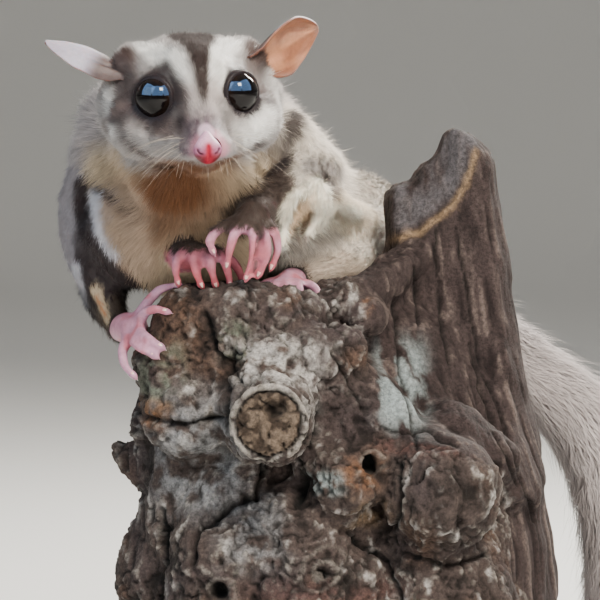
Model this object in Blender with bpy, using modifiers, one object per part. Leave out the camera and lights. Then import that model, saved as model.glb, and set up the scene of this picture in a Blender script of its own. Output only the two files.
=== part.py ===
# Sugar glider crouched on the broken top of a stump, life size, on a plain display stand.
# Metres, +Z up. The animal faces -Y, and the origin is the middle of the stand's underside.
import math

import bmesh
import bpy
import numpy as np
from mathutils import Euler, Matrix, Vector

MM = 0.001
GAP = 0.3 * MM
LOOSE_GAP = 0.45 * MM  # where the cut surface is thinned after, which can move it a little

# Display stand
BASE_LENGTH = 132 * MM
BASE_DEPTH = 112 * MM
BASE_THICKNESS = 8 * MM
BASE_CORNER = 14 * MM
BASE_EDGE = 1.2 * MM
ROD_RADIUS = 3 * MM
ROD_PLACES = {"left": (-28 * MM, -10 * MM), "right": (26 * MM, -8 * MM)}
PERCH_BOTTOM = 47 * MM

# Head, measured in its own frame: the nose points to -Y, and the origin lies midway between the eyes
EYES_MIDDLE = Vector((-33, -52, 156.6)) * MM
HEAD_YAW = math.radians(8)
HEAD_PITCH = math.radians(9)
HEAD_ROLL = math.radians(3.3)
EYE_RADIUS = 4.6 * MM
EYE_PLACE = Vector((8.1, 0.9, 0.2)) * MM
GAZE_OUT = math.radians(34)
GAZE_UP = math.radians(6)
LID_OPENING = 4.15 * MM
LID_THICKNESS = 0.8 * MM
SOCKET_DEPTH = 2.6 * MM
SOCKET_RADIUS = 6.3 * MM
NOSE_PLACE = Vector((0, -20.4, -7.5)) * MM
EAR_LENGTH = 19 * MM
EAR_WIDTH = 12.5 * MM
EAR_THICKNESS = 0.7 * MM

# Tail: its middle line from the rump to the tip, and the fur's radius along it
TAIL_LINE = [
    (-13, 68, 126), (-4, 77, 123), (8, 77, 117.5), (20, 69, 109), (30, 58, 99.5), (40, 48, 92.5),
    (48.5, 44, 86), (55, 42.5, 75.5), (58, 41.5, 63.5), (59.5, 41, 51), (59.5, 42, 39), (56.5, 44, 29),
    (49.5, 47, 22.5), (41, 50, 21), (34, 52, 23),
]
TAIL_RADIUS = [7.5, 8.4, 9.2, 9.6, 9.8, 9.9, 9.8, 9.6, 9.4, 9.1, 8.8, 8.3, 7.4, 5.8, 2.4]
TAIL_NODES = 5

# Colours
GREY_FUR = (0.46, 0.41, 0.39)
CREAM_FUR = (0.80, 0.72, 0.60)
PINK_SKIN = (0.80, 0.52, 0.50)
NOSE_PINK = (0.80, 0.25, 0.28)
EAR_SKIN = (0.74, 0.50, 0.42)
EYE_BLACK = (0.012, 0.014, 0.022)
WEATHERED_WOOD = (0.27, 0.22, 0.18)
STAND_WOOD = (0.045, 0.042, 0.04)
STAND_STEEL = (0.62, 0.62, 0.63)

# How finely the solids are cut into triangles
HEAD_TRIANGLES = 2500
NECK_TRIANGLES = 500
TORSO_TRIANGLES = 1300
LIMB_TRIANGLES = 380
PAW_TRIANGLES = 500
FOLD_TRIANGLES = 520
TAIL_TRIANGLES = 760
PERCH_TRIANGLES = 3200
SPHERE_SEGMENTS = 20
SPHERE_RINGS = 12
LIMB_SEGMENTS = 16


def clear_scene():
    for obj in list(bpy.data.objects):
        bpy.data.objects.remove(obj, do_unlink=True)


def new_collection(name):
    made = bpy.data.collections.new(name)
    bpy.context.scene.collection.children.link(made)
    return made


def finish_of(name, colour, roughness, metallic=0.0):
    made = bpy.data.materials.get(name)
    if made is None:
        made = bpy.data.materials.new(name)
        made.use_nodes = True
        shader = made.node_tree.nodes["Principled BSDF"]
        shader.inputs["Base Color"].default_value = (*colour, 1)
        shader.inputs["Roughness"].default_value = roughness
        shader.inputs["Metallic"].default_value = metallic
    return made


# Forms: closed primitives that overlap in one bmesh, in millimetres, which a voxel remesh joins


def add_ball(form, centre, radii, turn=(0, 0, 0)):
    turned = Euler([math.radians(angle) for angle in turn]).to_matrix().to_4x4()
    place = Matrix.Translation(centre) @ turned @ Matrix.Diagonal((*radii, 1))
    bmesh.ops.create_uvsphere(
        form, u_segments=SPHERE_SEGMENTS, v_segments=SPHERE_RINGS, radius=1, matrix=place
    )


def add_limb(form, points, radii, flatten=1.0, across=(1, 0, 0)):
    """A run of tapered cones with a ball at each point. flatten thins the section across the given direction."""
    squeeze = Matrix.Identity(4)
    if flatten != 1.0:
        squeeze = Matrix.Scale(flatten, 4, Vector(across).normalized())
    for start, end, r_start, r_end in zip(points, points[1:], radii, radii[1:]):
        along = Vector(end) - Vector(start)
        turn = along.to_track_quat("Z", "Y").to_matrix().to_4x4()
        place = Matrix.Translation((Vector(start) + Vector(end)) / 2) @ turn
        made = bmesh.ops.create_cone(
            form, cap_ends=True, segments=LIMB_SEGMENTS, radius1=r_start, radius2=r_end,
            depth=along.length, matrix=place,
        )
        squeeze_about(form, made["verts"], squeeze, place.translation, flatten)
    for point, radius in zip(points, radii):
        made = bmesh.ops.create_uvsphere(
            form, u_segments=LIMB_SEGMENTS, v_segments=8, radius=radius,
            matrix=Matrix.Translation(point),
        )
        squeeze_about(form, made["verts"], squeeze, Vector(point), flatten)


def squeeze_about(form, verts, squeeze, centre, flatten):
    if flatten != 1.0:
        about = Matrix.Translation(centre) @ squeeze @ Matrix.Translation(-centre)
        bmesh.ops.transform(form, matrix=about, verts=verts)


def mirrored(point, side):
    return (point[0] * side, point[1], point[2])


# Objects


def link_mesh(name, mesh, collection, material=None):
    obj = bpy.data.objects.new(name, mesh)
    collection.objects.link(obj)
    if material is not None:
        mesh.materials.clear()
        mesh.materials.append(material)
    return obj


def evaluated_copy(obj):
    bpy.context.view_layer.update()
    graph = bpy.context.evaluated_depsgraph_get()
    return bpy.data.meshes.new_from_object(obj.evaluated_get(graph))


def apply_modifiers(obj):
    mesh = evaluated_copy(obj)
    obj.modifiers.clear()
    old = obj.data
    obj.data = mesh
    bpy.data.meshes.remove(old)
    return obj


def solid_from(name, form, collection, material, voxel, smooth_steps, triangles, place=None):
    """Joins the overlapping pieces of a form by a voxel remesh, softens the joins, and thins the mesh."""
    bmesh.ops.transform(form, matrix=Matrix.Scale(MM, 4), verts=form.verts)
    mesh = bpy.data.meshes.new(name)
    form.to_mesh(mesh)
    form.free()
    if place is not None:
        mesh.transform(place)
    obj = link_mesh(name, mesh, collection, material)
    join_by_remesh(obj, voxel, smooth_steps)
    return thin_to(obj, triangles)


def thin_to(obj, triangles):
    count = sum(len(face.vertices) - 2 for face in obj.data.polygons)
    if count > triangles:
        thin = obj.modifiers.new("thin", "DECIMATE")
        thin.ratio = triangles / count
        apply_modifiers(obj)
    return keep_largest(obj)


def keep_largest(obj):
    """Leaves only the closed surface that encloses the most, and drops loose scraps and sealed hollows."""
    shape = bmesh.new()
    shape.from_mesh(obj.data)
    bmesh.ops.triangulate(shape, faces=shape.faces)
    shape.verts.ensure_lookup_table()
    island = [-1] * len(shape.verts)
    volumes = []
    for seed in shape.verts:
        if island[seed.index] >= 0:
            continue
        number = len(volumes)
        island[seed.index] = number
        stack, volume = [seed], 0.0
        while stack:
            vert = stack.pop()
            for edge in vert.link_edges:
                other = edge.other_vert(vert)
                if island[other.index] < 0:
                    island[other.index] = number
                    stack.append(other)
            for face in vert.link_faces:
                a, b, c = (corner.co for corner in face.verts)
                volume += a.cross(b).dot(c) / 18
        volumes.append(volume)
    best = volumes.index(max(volumes))
    extra = [vert for vert in shape.verts if island[vert.index] != best]
    bmesh.ops.delete(shape, geom=extra, context="VERTS")
    shape.to_mesh(obj.data)
    shape.free()
    return obj


def inflated(obj, cutters, amount=GAP):
    copy = link_mesh(obj.name + "_clearance", obj.data.copy(), cutters)
    copy.matrix_world = obj.matrix_world
    grow = copy.modifiers.new("clearance", "DISPLACE")
    grow.strength = amount
    grow.mid_level = 0.0
    apply_modifiers(copy)
    copy.hide_render = True
    copy.display_type = "WIRE"
    return copy


def boolean(obj, other, operation="DIFFERENCE", solver="MANIFOLD"):
    step = obj.modifiers.new("cut", "BOOLEAN")
    step.operation = operation
    step.solver = solver
    step.object = other
    return apply_modifiers(obj)


def cut_clear(obj, others, cutters, amount=GAP):
    """Cuts obj back from its neighbours, so that they meet face to face with the clearance."""
    for other in others:
        boolean(obj, inflated(other, cutters, amount))
    return keep_largest(obj)


def head_place():
    turn = Matrix.Rotation(HEAD_PITCH, 4, "X")
    yaw = Matrix.Rotation(HEAD_YAW, 4, "Z")
    roll = Matrix.Rotation(-HEAD_ROLL, 4, "Y")
    return Matrix.Translation(EYES_MIDDLE) @ yaw @ roll @ turn


def gaze_of(side):
    out, up = GAZE_OUT, GAZE_UP
    return Vector((side * math.sin(out) * math.cos(up), -math.cos(out) * math.cos(up), math.sin(up)))


def eye_centre(side):
    return Vector(mirrored(EYE_PLACE, side))


# Head


def build_eye(side, name, parts):
    bpy.ops.mesh.primitive_uv_sphere_add(segments=16, ring_count=10, radius=EYE_RADIUS)
    eye = bpy.context.object
    eye.name = name
    aim = gaze_of(side).to_track_quat("Z", "Y").to_matrix().to_4x4()
    eye.data.transform(head_place() @ Matrix.Translation(eye_centre(side)) @ aim)
    eye.data.materials.append(finish_of("eye_black", EYE_BLACK, 0.05))
    eye.data.shade_smooth()
    move_to(eye, parts)
    return eye


def move_to(obj, collection):
    for holder in list(obj.users_collection):
        holder.objects.unlink(obj)
    collection.objects.link(obj)


def build_nose(parts, cutters):
    form = bmesh.new()
    tip = NOSE_PLACE / MM
    add_ball(form, tip, (2.0, 1.7, 1.75))
    add_ball(form, tip + Vector((0, 1.2, 0.9)), (1.6, 1.9, 1.3))
    for side in (-1, 1):
        add_ball(form, tip + Vector((side * 1.15, 0.3, -0.5)), (1.1, 1.3, 1.1))
    nose = solid_from("nose", form, parts, finish_of("nose_pink", NOSE_PINK, 0.35), 0.3, 4, 240, head_place())
    for side in (-1, 1):
        nostril = bmesh.new()
        add_ball(nostril, tip + Vector((side * 1.15, -1.55, -0.45)), (0.5, 0.9, 0.4), (0, 0, side * 25))
        hole = solid_from("nostril", nostril, cutters, None, 0.2, 0, 60, head_place())
        hole.hide_render = True
        boolean(nose, hole)
    return keep_largest(nose)


def build_head(parts, cutters, eyes, nose):
    """The skull with its coat is softened first. The lids, whisker pads and muzzle are joined to it after."""
    broad = bmesh.new()
    add_ball(broad, (0, 13.0, -0.8), (16.4, 16.5, 12.4))
    add_ball(broad, (0, 4, 3.0), (8.5, 10, 8.6))
    add_ball(broad, (0, 2, 0), (4.6, 9, 8.5))
    add_ball(broad, (0, 0.5, -7.6), (11.4, 9.5, 5.4))
    add_limb(broad, [(0, 4, -2), (0, -5, -4.0), (0, -10, -5.5), (0, -15.8, -7.0)], [6.8, 6.1, 5.3, 3.9])
    add_limb(broad, [(0, 6, -8.0), (0, -6, -9.4), (0, -12.2, -10.2)], [9.4, 6.0, 2.8])
    for side in (-1, 1):
        add_ball(broad, mirrored((11.2, 6.5, -6.0), side), (7.6, 9.5, 8.0))
        add_limb(broad, [mirrored(point, side) for point in [(9.5, 8, -7.5), (6.0, -1.5, -8.0), (3.0, -9, -8.6)]], [7.0, 5.6, 3.6])
        add_ball(broad, mirrored((13.6, 14, -4.0), side), (6.4, 9.0, 9.0))
        add_ball(broad, mirrored((11.0, 13.0, 5.0), side), (6.0, 6.0, 5.4))
        socket = (eye_centre(side) - gaze_of(side) * SOCKET_DEPTH) / MM
        add_ball(broad, socket, [SOCKET_RADIUS / MM] * 3)
    skull = solid_from("skull", broad, cutters, None, 0.7, 16, 40000, head_place())
    fine = bmesh.new()
    add_limb(fine, [(0, -12, -5.6), (0, -16.4, -7.0), (0, -19.2, -7.4)], [4.7, 3.9, 2.5])
    for side in (-1, 1):
        add_ball(fine, mirrored((3.2, -13.6, -8.2), side), (3.3, 4.4, 3.1))
        lid_ring(fine, side)
    head = solid_from("head", fine, parts, finish_of("cream_fur", CREAM_FUR, 0.85), 0.5, 0, 40000, head_place())
    boolean(head, skull, "UNION")
    bpy.data.objects.remove(skull)
    join_by_remesh(head, 0.55, 4)
    thin_to(head, HEAD_TRIANGLES * 0.75)
    for cutter in mouth_cutters(cutters):
        boolean(head, cutter)
    cut_clear(head, [*eyes, nose], cutters, LOOSE_GAP)
    return thin_to(head, HEAD_TRIANGLES)


def join_by_remesh(obj, voxel, smooth_steps):
    remesh = obj.modifiers.new("join", "REMESH")
    remesh.mode = "VOXEL"
    remesh.voxel_size = voxel * MM
    soften = obj.modifiers.new("soften", "SMOOTH")
    soften.factor = 0.5
    soften.iterations = smooth_steps
    return apply_modifiers(obj)


def lid_ring(form, side):
    """The raised rim of the lids: a ring round the opening, which faces the way the eye looks."""
    depth = math.sqrt(EYE_RADIUS**2 - LID_OPENING**2)
    aim = gaze_of(side).to_track_quat("Z", "Y").to_matrix().to_4x4()
    centre = (eye_centre(side) + gaze_of(side) * depth) / MM
    rings = 18
    around = [
        centre + aim @ Vector((math.cos(turn), math.sin(turn), 0)) * (LID_OPENING / MM)
        for turn in np.linspace(0, 2 * math.pi, rings, endpoint=False)
    ]
    for point in around:
        add_ball(form, point, [LID_THICKNESS / MM * 1.15] * 3)


def mouth_cutters(cutters):
    """Two thin wedges that cut the line of the mouth under the whisker pads, from the lip back to the cheeks."""
    made = []
    for side in (-1, 1):
        form = bmesh.new()
        line = [
            mirrored(point, side)
            for point in [(0, -18, -9.9), (2.2, -16.4, -10.5), (4.6, -12.8, -10.9), (6.1, -9, -10.9), (8.4, -5, -10.6)]
        ]
        add_limb(form, line, [0.45, 0.55, 0.65, 0.6, 0.35])
        cutter = solid_from("mouth_line", form, cutters, None, 0.22, 0, 160, head_place())
        cutter.hide_render = True
        made.append(cutter)
    return made


EARS = {
    "left": {"root": (13.0, 11.5, 4.6), "tip": (28.0, 22.0, 10.4), "opens": (0.45, -0.85, -0.25)},
    "right": {"root": (-14.5, 11.5, 5.4), "tip": (-27.2, 20.2, 10.4), "opens": (-0.20, 0.34, -0.90)},
}


def build_ear(name, parts, cutters, head):
    """A leaf shaped cup: a grid bent by formula, thickened by Solidify, with its root set in the head."""
    spec = EARS[name]
    root, tip = Vector(spec["root"]) * MM, Vector(spec["tip"]) * MM
    along = (tip - root).normalized()
    across = along.cross(Vector(spec["opens"])).normalized()
    opens = across.cross(along).normalized()
    bpy.ops.mesh.primitive_grid_add(x_subdivisions=8, y_subdivisions=10, size=2)
    ear = bpy.context.object
    ear.name = "ear_" + name
    for vert in ear.data.vertices:
        t, s = vert.co.x, (vert.co.y + 1) / 2
        half = EAR_WIDTH / 2 * (0.50 + 0.62 * math.sin(math.pi * min(1, s * 0.86 + 0.10))) * math.sqrt(max(0.02, 1 - s**5))
        bend = t * math.radians(78) * (1 - 0.55 * s)
        radius = half / math.radians(78) / (1 - 0.55 * s)
        lean = -0.07 * math.sin(math.pi * s) * EAR_LENGTH
        place = root + along * (EAR_LENGTH * s) + across * (radius * math.sin(bend))
        vert.co = place - opens * (radius * math.cos(bend)) + opens * (radius + lean)
    ear.data.transform(head_place())
    thicken = ear.modifiers.new("thickness", "SOLIDIFY")
    thicken.thickness = EAR_THICKNESS
    thicken.offset = 0
    apply_modifiers(ear)
    ear.data.materials.clear()
    ear.data.materials.append(finish_of("ear_skin", EAR_SKIN, 0.6))
    move_to(ear, parts)
    shape = bmesh.new()
    shape.from_mesh(ear.data)
    bmesh.ops.recalc_face_normals(shape, faces=shape.faces)
    bmesh.ops.triangulate(shape, faces=shape.faces)
    shape.to_mesh(ear.data)
    shape.free()
    return cut_clear(ear, [head], cutters)


# Body


def build_neck(parts, cutters, head):
    form = bmesh.new()
    add_limb(form, [(-35, -40, 151), (-37, -26, 148.5), (-37, -10, 145)], [13, 15.5, 16.5])
    add_ball(form, (-35, -34, 141), (14, 11, 11))
    neck = solid_from("neck", form, parts, finish_of("cream_fur", CREAM_FUR, 0.85), 1.4, 8, NECK_TRIANGLES / 2)
    return cut_clear(neck, [head], cutters, LOOSE_GAP)


def build_torso(parts):
    form = bmesh.new()
    add_ball(form, (-38, -8, 142.5), (23, 18, 18))
    add_ball(form, (-49.5, 2, 149.5), (12, 16, 12))
    add_ball(form, (-36, -21, 128.5), (17.5, 13, 16))
    add_limb(form, [(-37, -6, 146), (-34, 10, 148), (-30, 24, 147.5), (-25, 38, 143), (-20, 52, 135)], [15, 17, 17.5, 17, 14.5])
    add_ball(form, (-33, 10, 139), (27, 26, 19))
    add_ball(form, (-31, 12, 128), (32, 28, 13.5))
    add_ball(form, (-26.5, 32, 135), (27, 27, 19))
    add_ball(form, (-23, 38, 127), (29.5, 27, 13.5))
    add_ball(form, (-18, 56, 130), (19, 17, 14))
    add_limb(form, [(-17, 56, 130), (-12, 68, 126.5), (-7, 74, 124)], [13, 10.5, 8.5])
    return solid_from("torso", form, parts, finish_of("grey_fur", GREY_FUR, 0.9), 1.6, 34, TORSO_TRIANGLES * 0.75)


ARMS = {
    "left": [(-16.5, -10, 146), (-7.2, -8, 141), (-13.5, -22, 139), (-20, -34, 134)],
    "right": [(-52.5, -8, 143.5), (-56, -4, 131), (-48, -15, 126), (-37.5, -27, 123.5)],
}
ARM_RADII = {"left": [9.0, 5.6, 5.4, 4.2], "right": [9.6, 7.0, 5.7, 4.2]}

LEGS = {
    "left": [(0, 36, 127), (0, 18, 121.5), (-2, 6, 119.5), (-7, -2, 118.5), (-12.5, -7.5, 117.4)],
    "right": [(-49, 30, 128), (-52.5, 12, 122), (-54.5, -4, 118), (-53.5, -14, 112.5), (-50, -21, 107.5)],
}
LEG_RADII = {"left": [13, 10.0, 7.4, 5.6, 3.8], "right": [12, 8.8, 6.6, 5.2, 3.6]}


def build_limb(name, points, radii, parts, cutters, clear_of):
    form = bmesh.new()
    add_limb(form, points, radii)
    limb = solid_from(name, form, parts, finish_of("grey_fur", GREY_FUR, 0.9), 1.2, 5, LIMB_TRIANGLES)
    cut_clear(limb, clear_of, cutters, LOOSE_GAP)
    return thin_to(limb, LIMB_TRIANGLES)


# Hands and feet: the palm's own line, then a line of points for each digit, root to tip
HANDS = {
    "left": {
        "palm": [(-20, -34.5, 133.6), (-21.6, -38.5, 132), (-22.8, -40.6, 130.6)],
        "palm_radii": [3.4, 4.0, 3.2],
        "digits": [
            [(-25.0, -40.0, 131.0), (-29.2, -42.2, 129.2), (-31.0, -42.8, 126.6), (-30.0, -42.2, 124.6)],
            [(-24.0, -41.8, 130.6), (-25.8, -44.5, 128.0), (-26.5, -44.8, 125.0), (-27.0, -43.5, 122.0)],
            [(-22.3, -42.3, 130.4), (-21.5, -45.8, 127.5), (-21.5, -46.0, 123.6), (-23.0, -44.2, 119.3)],
            [(-20.6, -41.8, 130.6), (-19.0, -45.0, 127.5), (-18.6, -45.2, 123.8), (-20.4, -43.6, 120.0)],
            [(-19.6, -39.4, 130.8), (-17.0, -42.0, 128.4), (-16.4, -42.4, 125.0), (-17.8, -41.4, 121.4)],
        ],
    },
    "right": {
        "palm": [(-37.5, -28, 123.5), (-35.6, -31.5, 123.6), (-33.8, -33.6, 123.4)],
        "palm_radii": [3.4, 3.9, 3.1],
        "digits": [
            [(-36.8, -33.6, 123.8), (-37.8, -36.2, 122.4), (-37.9, -36.6, 120.0), (-37.4, -35.8, 117.8)],
            [(-34.4, -34.8, 124.2), (-34.0, -37.4, 122.2), (-33.6, -37.8, 119.8), (-32.6, -37.0, 117.4)],
            [(-31.8, -35.0, 124.4), (-30.6, -37.4, 122.4), (-30.2, -37.8, 119.8), (-29.6, -37.0, 117.4)],
            [(-29.6, -34.0, 124.2), (-27.6, -36.0, 122.4), (-27.0, -36.4, 120.0), (-26.6, -35.6, 117.6)],
            [(-29.0, -31.4, 123.6), (-26.0, -32.2, 122.2), (-24.6, -32.4, 120.0), (-24.0, -32.0, 117.8)],
        ],
    },
}
FEET = {
    "right": {
        "palm": [(-49.8, -22, 107.2), (-48.2, -27.5, 108.0), (-46.6, -31.5, 108.0)],
        "palm_radii": [3.2, 3.6, 3.3],
        "digits": [
            [(-46.4, -31.0, 109.6), (-43.6, -32.6, 114.0), (-41.2, -33.0, 116.4), (-37.6, -33.0, 117.0)],
            [(-45.4, -34.0, 109.4), (-44.4, -37.2, 111.8), (-42.0, -39.4, 112.6), (-39.8, -40.0, 112.0)],
            [(-45.6, -34.4, 107.8), (-45.0, -38.0, 107.4), (-43.0, -40.6, 106.2), (-40.8, -41.4, 104.8)],
            [(-46.4, -34.0, 106.6), (-46.6, -37.6, 105.4), (-44.6, -40.2, 104.0), (-42.2, -41.0, 102.8)],
            [(-48.0, -32.6, 106.0), (-49.2, -35.6, 103.4), (-48.6, -37.8, 100.6), (-46.6, -38.8, 98.6)],
        ],
    },
    "left": {
        "palm": [(-13, -8, 117.0), (-13.8, -13.0, 116.8), (-14.4, -17.0, 116.4)],
        "palm_radii": [3.2, 3.4, 3.1],
        "digits": [
            [(-15.8, -14.0, 116.8), (-18.6, -16.4, 117.0), (-20.4, -18.6, 116.2), (-21.6, -20.4, 114.8)],
            [(-15.8, -18.0, 116.8), (-17.2, -21.4, 116.8), (-18.0, -24.0, 115.8), (-18.6, -26.0, 114.2)],
            [(-14.6, -18.8, 116.8), (-14.8, -22.4, 116.8), (-15.2, -25.2, 115.8), (-15.4, -27.2, 114.0)],
            [(-13.2, -18.4, 116.8), (-12.4, -22.0, 116.8), (-12.0, -24.6, 115.8), (-11.8, -26.6, 114.0)],
            [(-12.2, -16.6, 116.6), (-10.0, -19.4, 116.6), (-8.6, -21.6, 115.8), (-7.8, -23.4, 114.2)],
        ],
    },
}
DIGIT_RADII = [1.55, 1.35, 1.2, 0.8]


def build_paw(name, spec, parts):
    """A bare palm or sole with five tapering digits, each with a soft pad and a short claw at its tip."""
    form = bmesh.new()
    add_limb(form, spec["palm"], spec["palm_radii"])
    for line in spec["digits"]:
        add_limb(form, [spec["palm"][-1], line[0]], [spec["palm_radii"][-1] * 0.6, DIGIT_RADII[0]])
        add_limb(form, line, DIGIT_RADII)
        add_ball(form, line[-1], (1.25, 1.25, 1.25))
        forward = (Vector(line[-1]) - Vector(line[-2])).normalized()
        claw_end = Vector(line[-1]) + forward * 1.9
        add_limb(form, [line[-1], claw_end], [0.7, 0.42])
    return solid_from(name, form, parts, finish_of("pink_skin", PINK_SKIN, 0.5), 0.42, 2, PAW_TRIANGLES)


# The gliding membrane lies in folds along each flank, from the wrist to the ankle
PATAGIA = {
    "left": {
        "line": [(-15.3, -31, 125.5), (-14.7, -29.5, 129.5), (-12.5, -27.5, 133), (-8, -23, 135.5), (-4.5, -18, 135.5),
                 (-3.6, -10, 133.5), (-1.5, 3, 131), (0.5, 14, 129.5), (2.2, 24, 127.5), (4, 38, 126.5), (2, 52, 126)],
        "radii": [1.5, 1.9, 2.1, 2.1, 2.2, 2.8, 3.6, 4.0, 4.2, 4.0, 3.0],
        "folds": [
            ([(-4.8, -18, 135.3), (-6.4, -18, 131.5), (-8.8, -19, 128.5), (-11, -21, 126.5)], [2.2, 2.0, 1.8, 1.4]),
            ([(-10, -22.5, 134), (-9.5, -19, 131.5), (-11, -20, 128)], [2.2, 2.4, 1.8]),
        ],
    },
    "right": {
        "line": [(-57.5, -12, 142), (-60.5, -12, 134), (-60, -13, 126), (-57.5, -16, 119), (-54.5, -18, 113.5)],
        "radii": [3.6, 3.8, 3.8, 3.6, 2.6],
        "folds": [
            ([(-51.5, -20, 134), (-51.5, -21, 127), (-48, -22, 120)], [5.0, 6.4, 5.0]),
            ([(-58, 6, 124), (-57.5, 0, 116), (-55, -8, 109.5), (-52, -16, 105.5)], [3.6, 3.6, 2.8, 1.6]),
        ],
    },
}


def build_patagium(name, parts, cutters, clear_of):
    spec = PATAGIA[name]
    form = bmesh.new()
    add_limb(form, spec["line"], spec["radii"])
    for line, radii in spec["folds"]:
        add_limb(form, line, radii)
    material = finish_of("cream_fur", CREAM_FUR, 0.85)
    fold = solid_from("patagium_" + name, form, parts, material, 0.8, 3, FOLD_TRIANGLES)
    return cut_clear(fold, clear_of, cutters)


def build_tail(parts, cutters, torso):
    """One bushy tail, parted by thin slices into lengths that keep their order from the rump to the tip."""
    form = bmesh.new()
    add_limb(form, TAIL_LINE, TAIL_RADIUS)
    whole = solid_from("tail", form, cutters, finish_of("grey_fur", GREY_FUR, 0.9), 1.3, 8, TAIL_TRIANGLES)
    cut_clear(whole, [torso], cutters)
    line = [Vector(point) * MM for point in TAIL_LINE]
    steps = [round(index * (len(line) - 1) / TAIL_NODES) for index in range(TAIL_NODES + 1)]
    lengths = []
    for number in range(TAIL_NODES):
        piece = link_mesh(f"tail_{number + 1}", whole.data.copy(), parts)
        for end, keeps in ((number, 1), (number + 1, -1)):
            if 0 < end < TAIL_NODES:
                at = steps[end]
                along = (line[at + 1] - line[at - 1]).normalized() * keeps
                slice_off(piece, line[at] + along * (GAP / 2), along)
        lengths.append(keep_largest(piece))
    bpy.data.objects.remove(whole)
    return lengths


def slice_off(obj, point, keeps):
    """Cuts the mesh at a plane and closes the cut. The side that keeps points to stays."""
    shape = bmesh.new()
    shape.from_mesh(obj.data)
    every = shape.verts[:] + shape.edges[:] + shape.faces[:]
    cut = bmesh.ops.bisect_plane(shape, geom=every, dist=1e-7, plane_co=point, plane_no=keeps, clear_inner=True)
    rim = [item for item in cut["geom_cut"] if isinstance(item, bmesh.types.BMEdge)]
    bmesh.ops.holes_fill(shape, edges=rim, sides=0)
    bmesh.ops.triangulate(shape, faces=shape.faces)
    bmesh.ops.recalc_face_normals(shape, faces=shape.faces)
    shape.to_mesh(obj.data)
    shape.free()


# Perch: the broken top of the stump that the animal grips, cut off level below


def build_perch(parts, cutters, clear_of):
    form = bmesh.new()
    add_trunk(form)
    add_splinter(form)
    add_ball(form, (-22, -2, 101), (24, 32, 12))
    for line, radii in BURRS:
        add_limb(form, line, radii)
    perch = solid_from("perch", form, parts, finish_of("weathered_wood", WEATHERED_WOOD, 0.9), 1.3, 2, 90000)
    for name, scale, strength in (("lumps", 12 * MM, 2.6 * MM), ("ridges", 4.0 * MM, 1.0 * MM)):
        roughen(perch, name, scale, strength)
    for line, radii in PITS:
        pit = bmesh.new()
        add_limb(pit, line, radii)
        hollow = solid_from("pit", pit, cutters, None, 0.8, 0, 160)
        hollow.hide_render = True
        boolean(perch, hollow)
    thin_to(perch, PERCH_TRIANGLES)
    slice_off(perch, Vector((0, 0, PERCH_BOTTOM)), Vector((0, 0, 1)))
    cut_clear(perch, clear_of, cutters, LOOSE_GAP)
    return thin_to(perch, PERCH_TRIANGLES)


# Knots, stubs and ridges of the wood, in millimetres: a line, and the radius at each of its points
BURRS = [
    ([(-36, -34, 109.5), (-26, -36, 110), (-16, -34, 110)], [7.6, 8.4, 8.0]),
    ([(-38.5, -27, 102), (-39, -33, 100.5)], [8.2, 7.4]),
    ([(-42, -23, 90), (-43.5, -25, 88)], [5.4, 4.6]),
    ([(-14, -32, 109), (-4, -28, 113), (5, -20, 117), (12, -10, 122.5), (16, -2, 128)], [5.4, 4.6, 4.8, 5.2, 5.4]),
    ([(2.4, -26, 110.6), (3.0, -31, 110.2)], [4.4, 3.8]),
    ([(-31, -37, 103), (-16, -41, 102), (-3, -38, 103)], [6.0, 6.2, 6.0]),
    ([(-19, -30, 94), (-18.5, -43, 91.5), (-18, -52, 90.4)], [12.5, 10.8, 9.2]),
    ([(-30, -30, 93), (-36, -36, 90)], [11, 9]),
    ([(-4, -32, 92), (4, -37, 88)], [11, 9]),
    ([(10, -34, 78), (17, -43, 74.5)], [12, 12.6]),
    ([(-6, -36, 80), (-1, -42, 77)], [9, 9.4]),
    ([(20, -30, 86), (29, -28, 80)], [7, 6]),
    ([(-34, -22, 82), (-34, -24, 68), (-36, -22, 52)], [11, 12, 13.5]),
    ([(-44, -20, 78), (-51, -19, 81.5)], [5, 2.4]),
    ([(-43, -20, 62), (-46, -19, 54)], [6, 6]),
    ([(-25, -32, 72), (-26, -35, 60), (-26, -34, 48)], [11, 14, 15]),
    ([(-14, -33, 60), (-10, -34, 52)], [17, 18]),
    ([(12, -30, 62), (20, -32, 48)], [14, 15]),
    ([(-32, 8, 96), (-32, 10, 76), (-33, 10, 50)], [10, 13, 16]),
    ([(-16, 20, 104), (-12, 24, 84), (-12, 25, 50)], [13, 16, 19]),
    ([(14, 18, 110), (16, 20, 84), (18, 20, 50)], [11, 16, 19]),
]
PITS = [
    ([(-18.2, -55, 92.5), (-18.4, -66, 92)], [4.4, 7.4]),
    ([(2, -48, 81), (3.5, -56, 81.6)], [1.8, 3.0]),
    ([(4.5, -41, 70), (-3, -56, 65)], [3.5, 5.5]),
    ([(-9, -50, 57), (-8, -60, 57)], [2.0, 3.6]),
    ([(-33, -42, 50), (-34, -52, 49)], [2.4, 4.0]),
    ([(6.0, -27, 145.5), (-2, -29, 150)], [26.5, 26.5]),
]


def add_trunk(form):
    """The trunk's own mass, widest where it is cut off."""
    lengths = [
        ((1, -2, 30), (0, -2, 60), 45, 43),
        ((0, -2, 58), (-2, -1, 80), 43, 39),
        ((-2, -1, 74), (-6, 1, 86), 38.5, 31),
    ]
    for low, high, r_low, r_high in lengths:
        add_limb(form, [low, high], [r_low, r_high], 0.86, (0, 1, 0))


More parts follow.
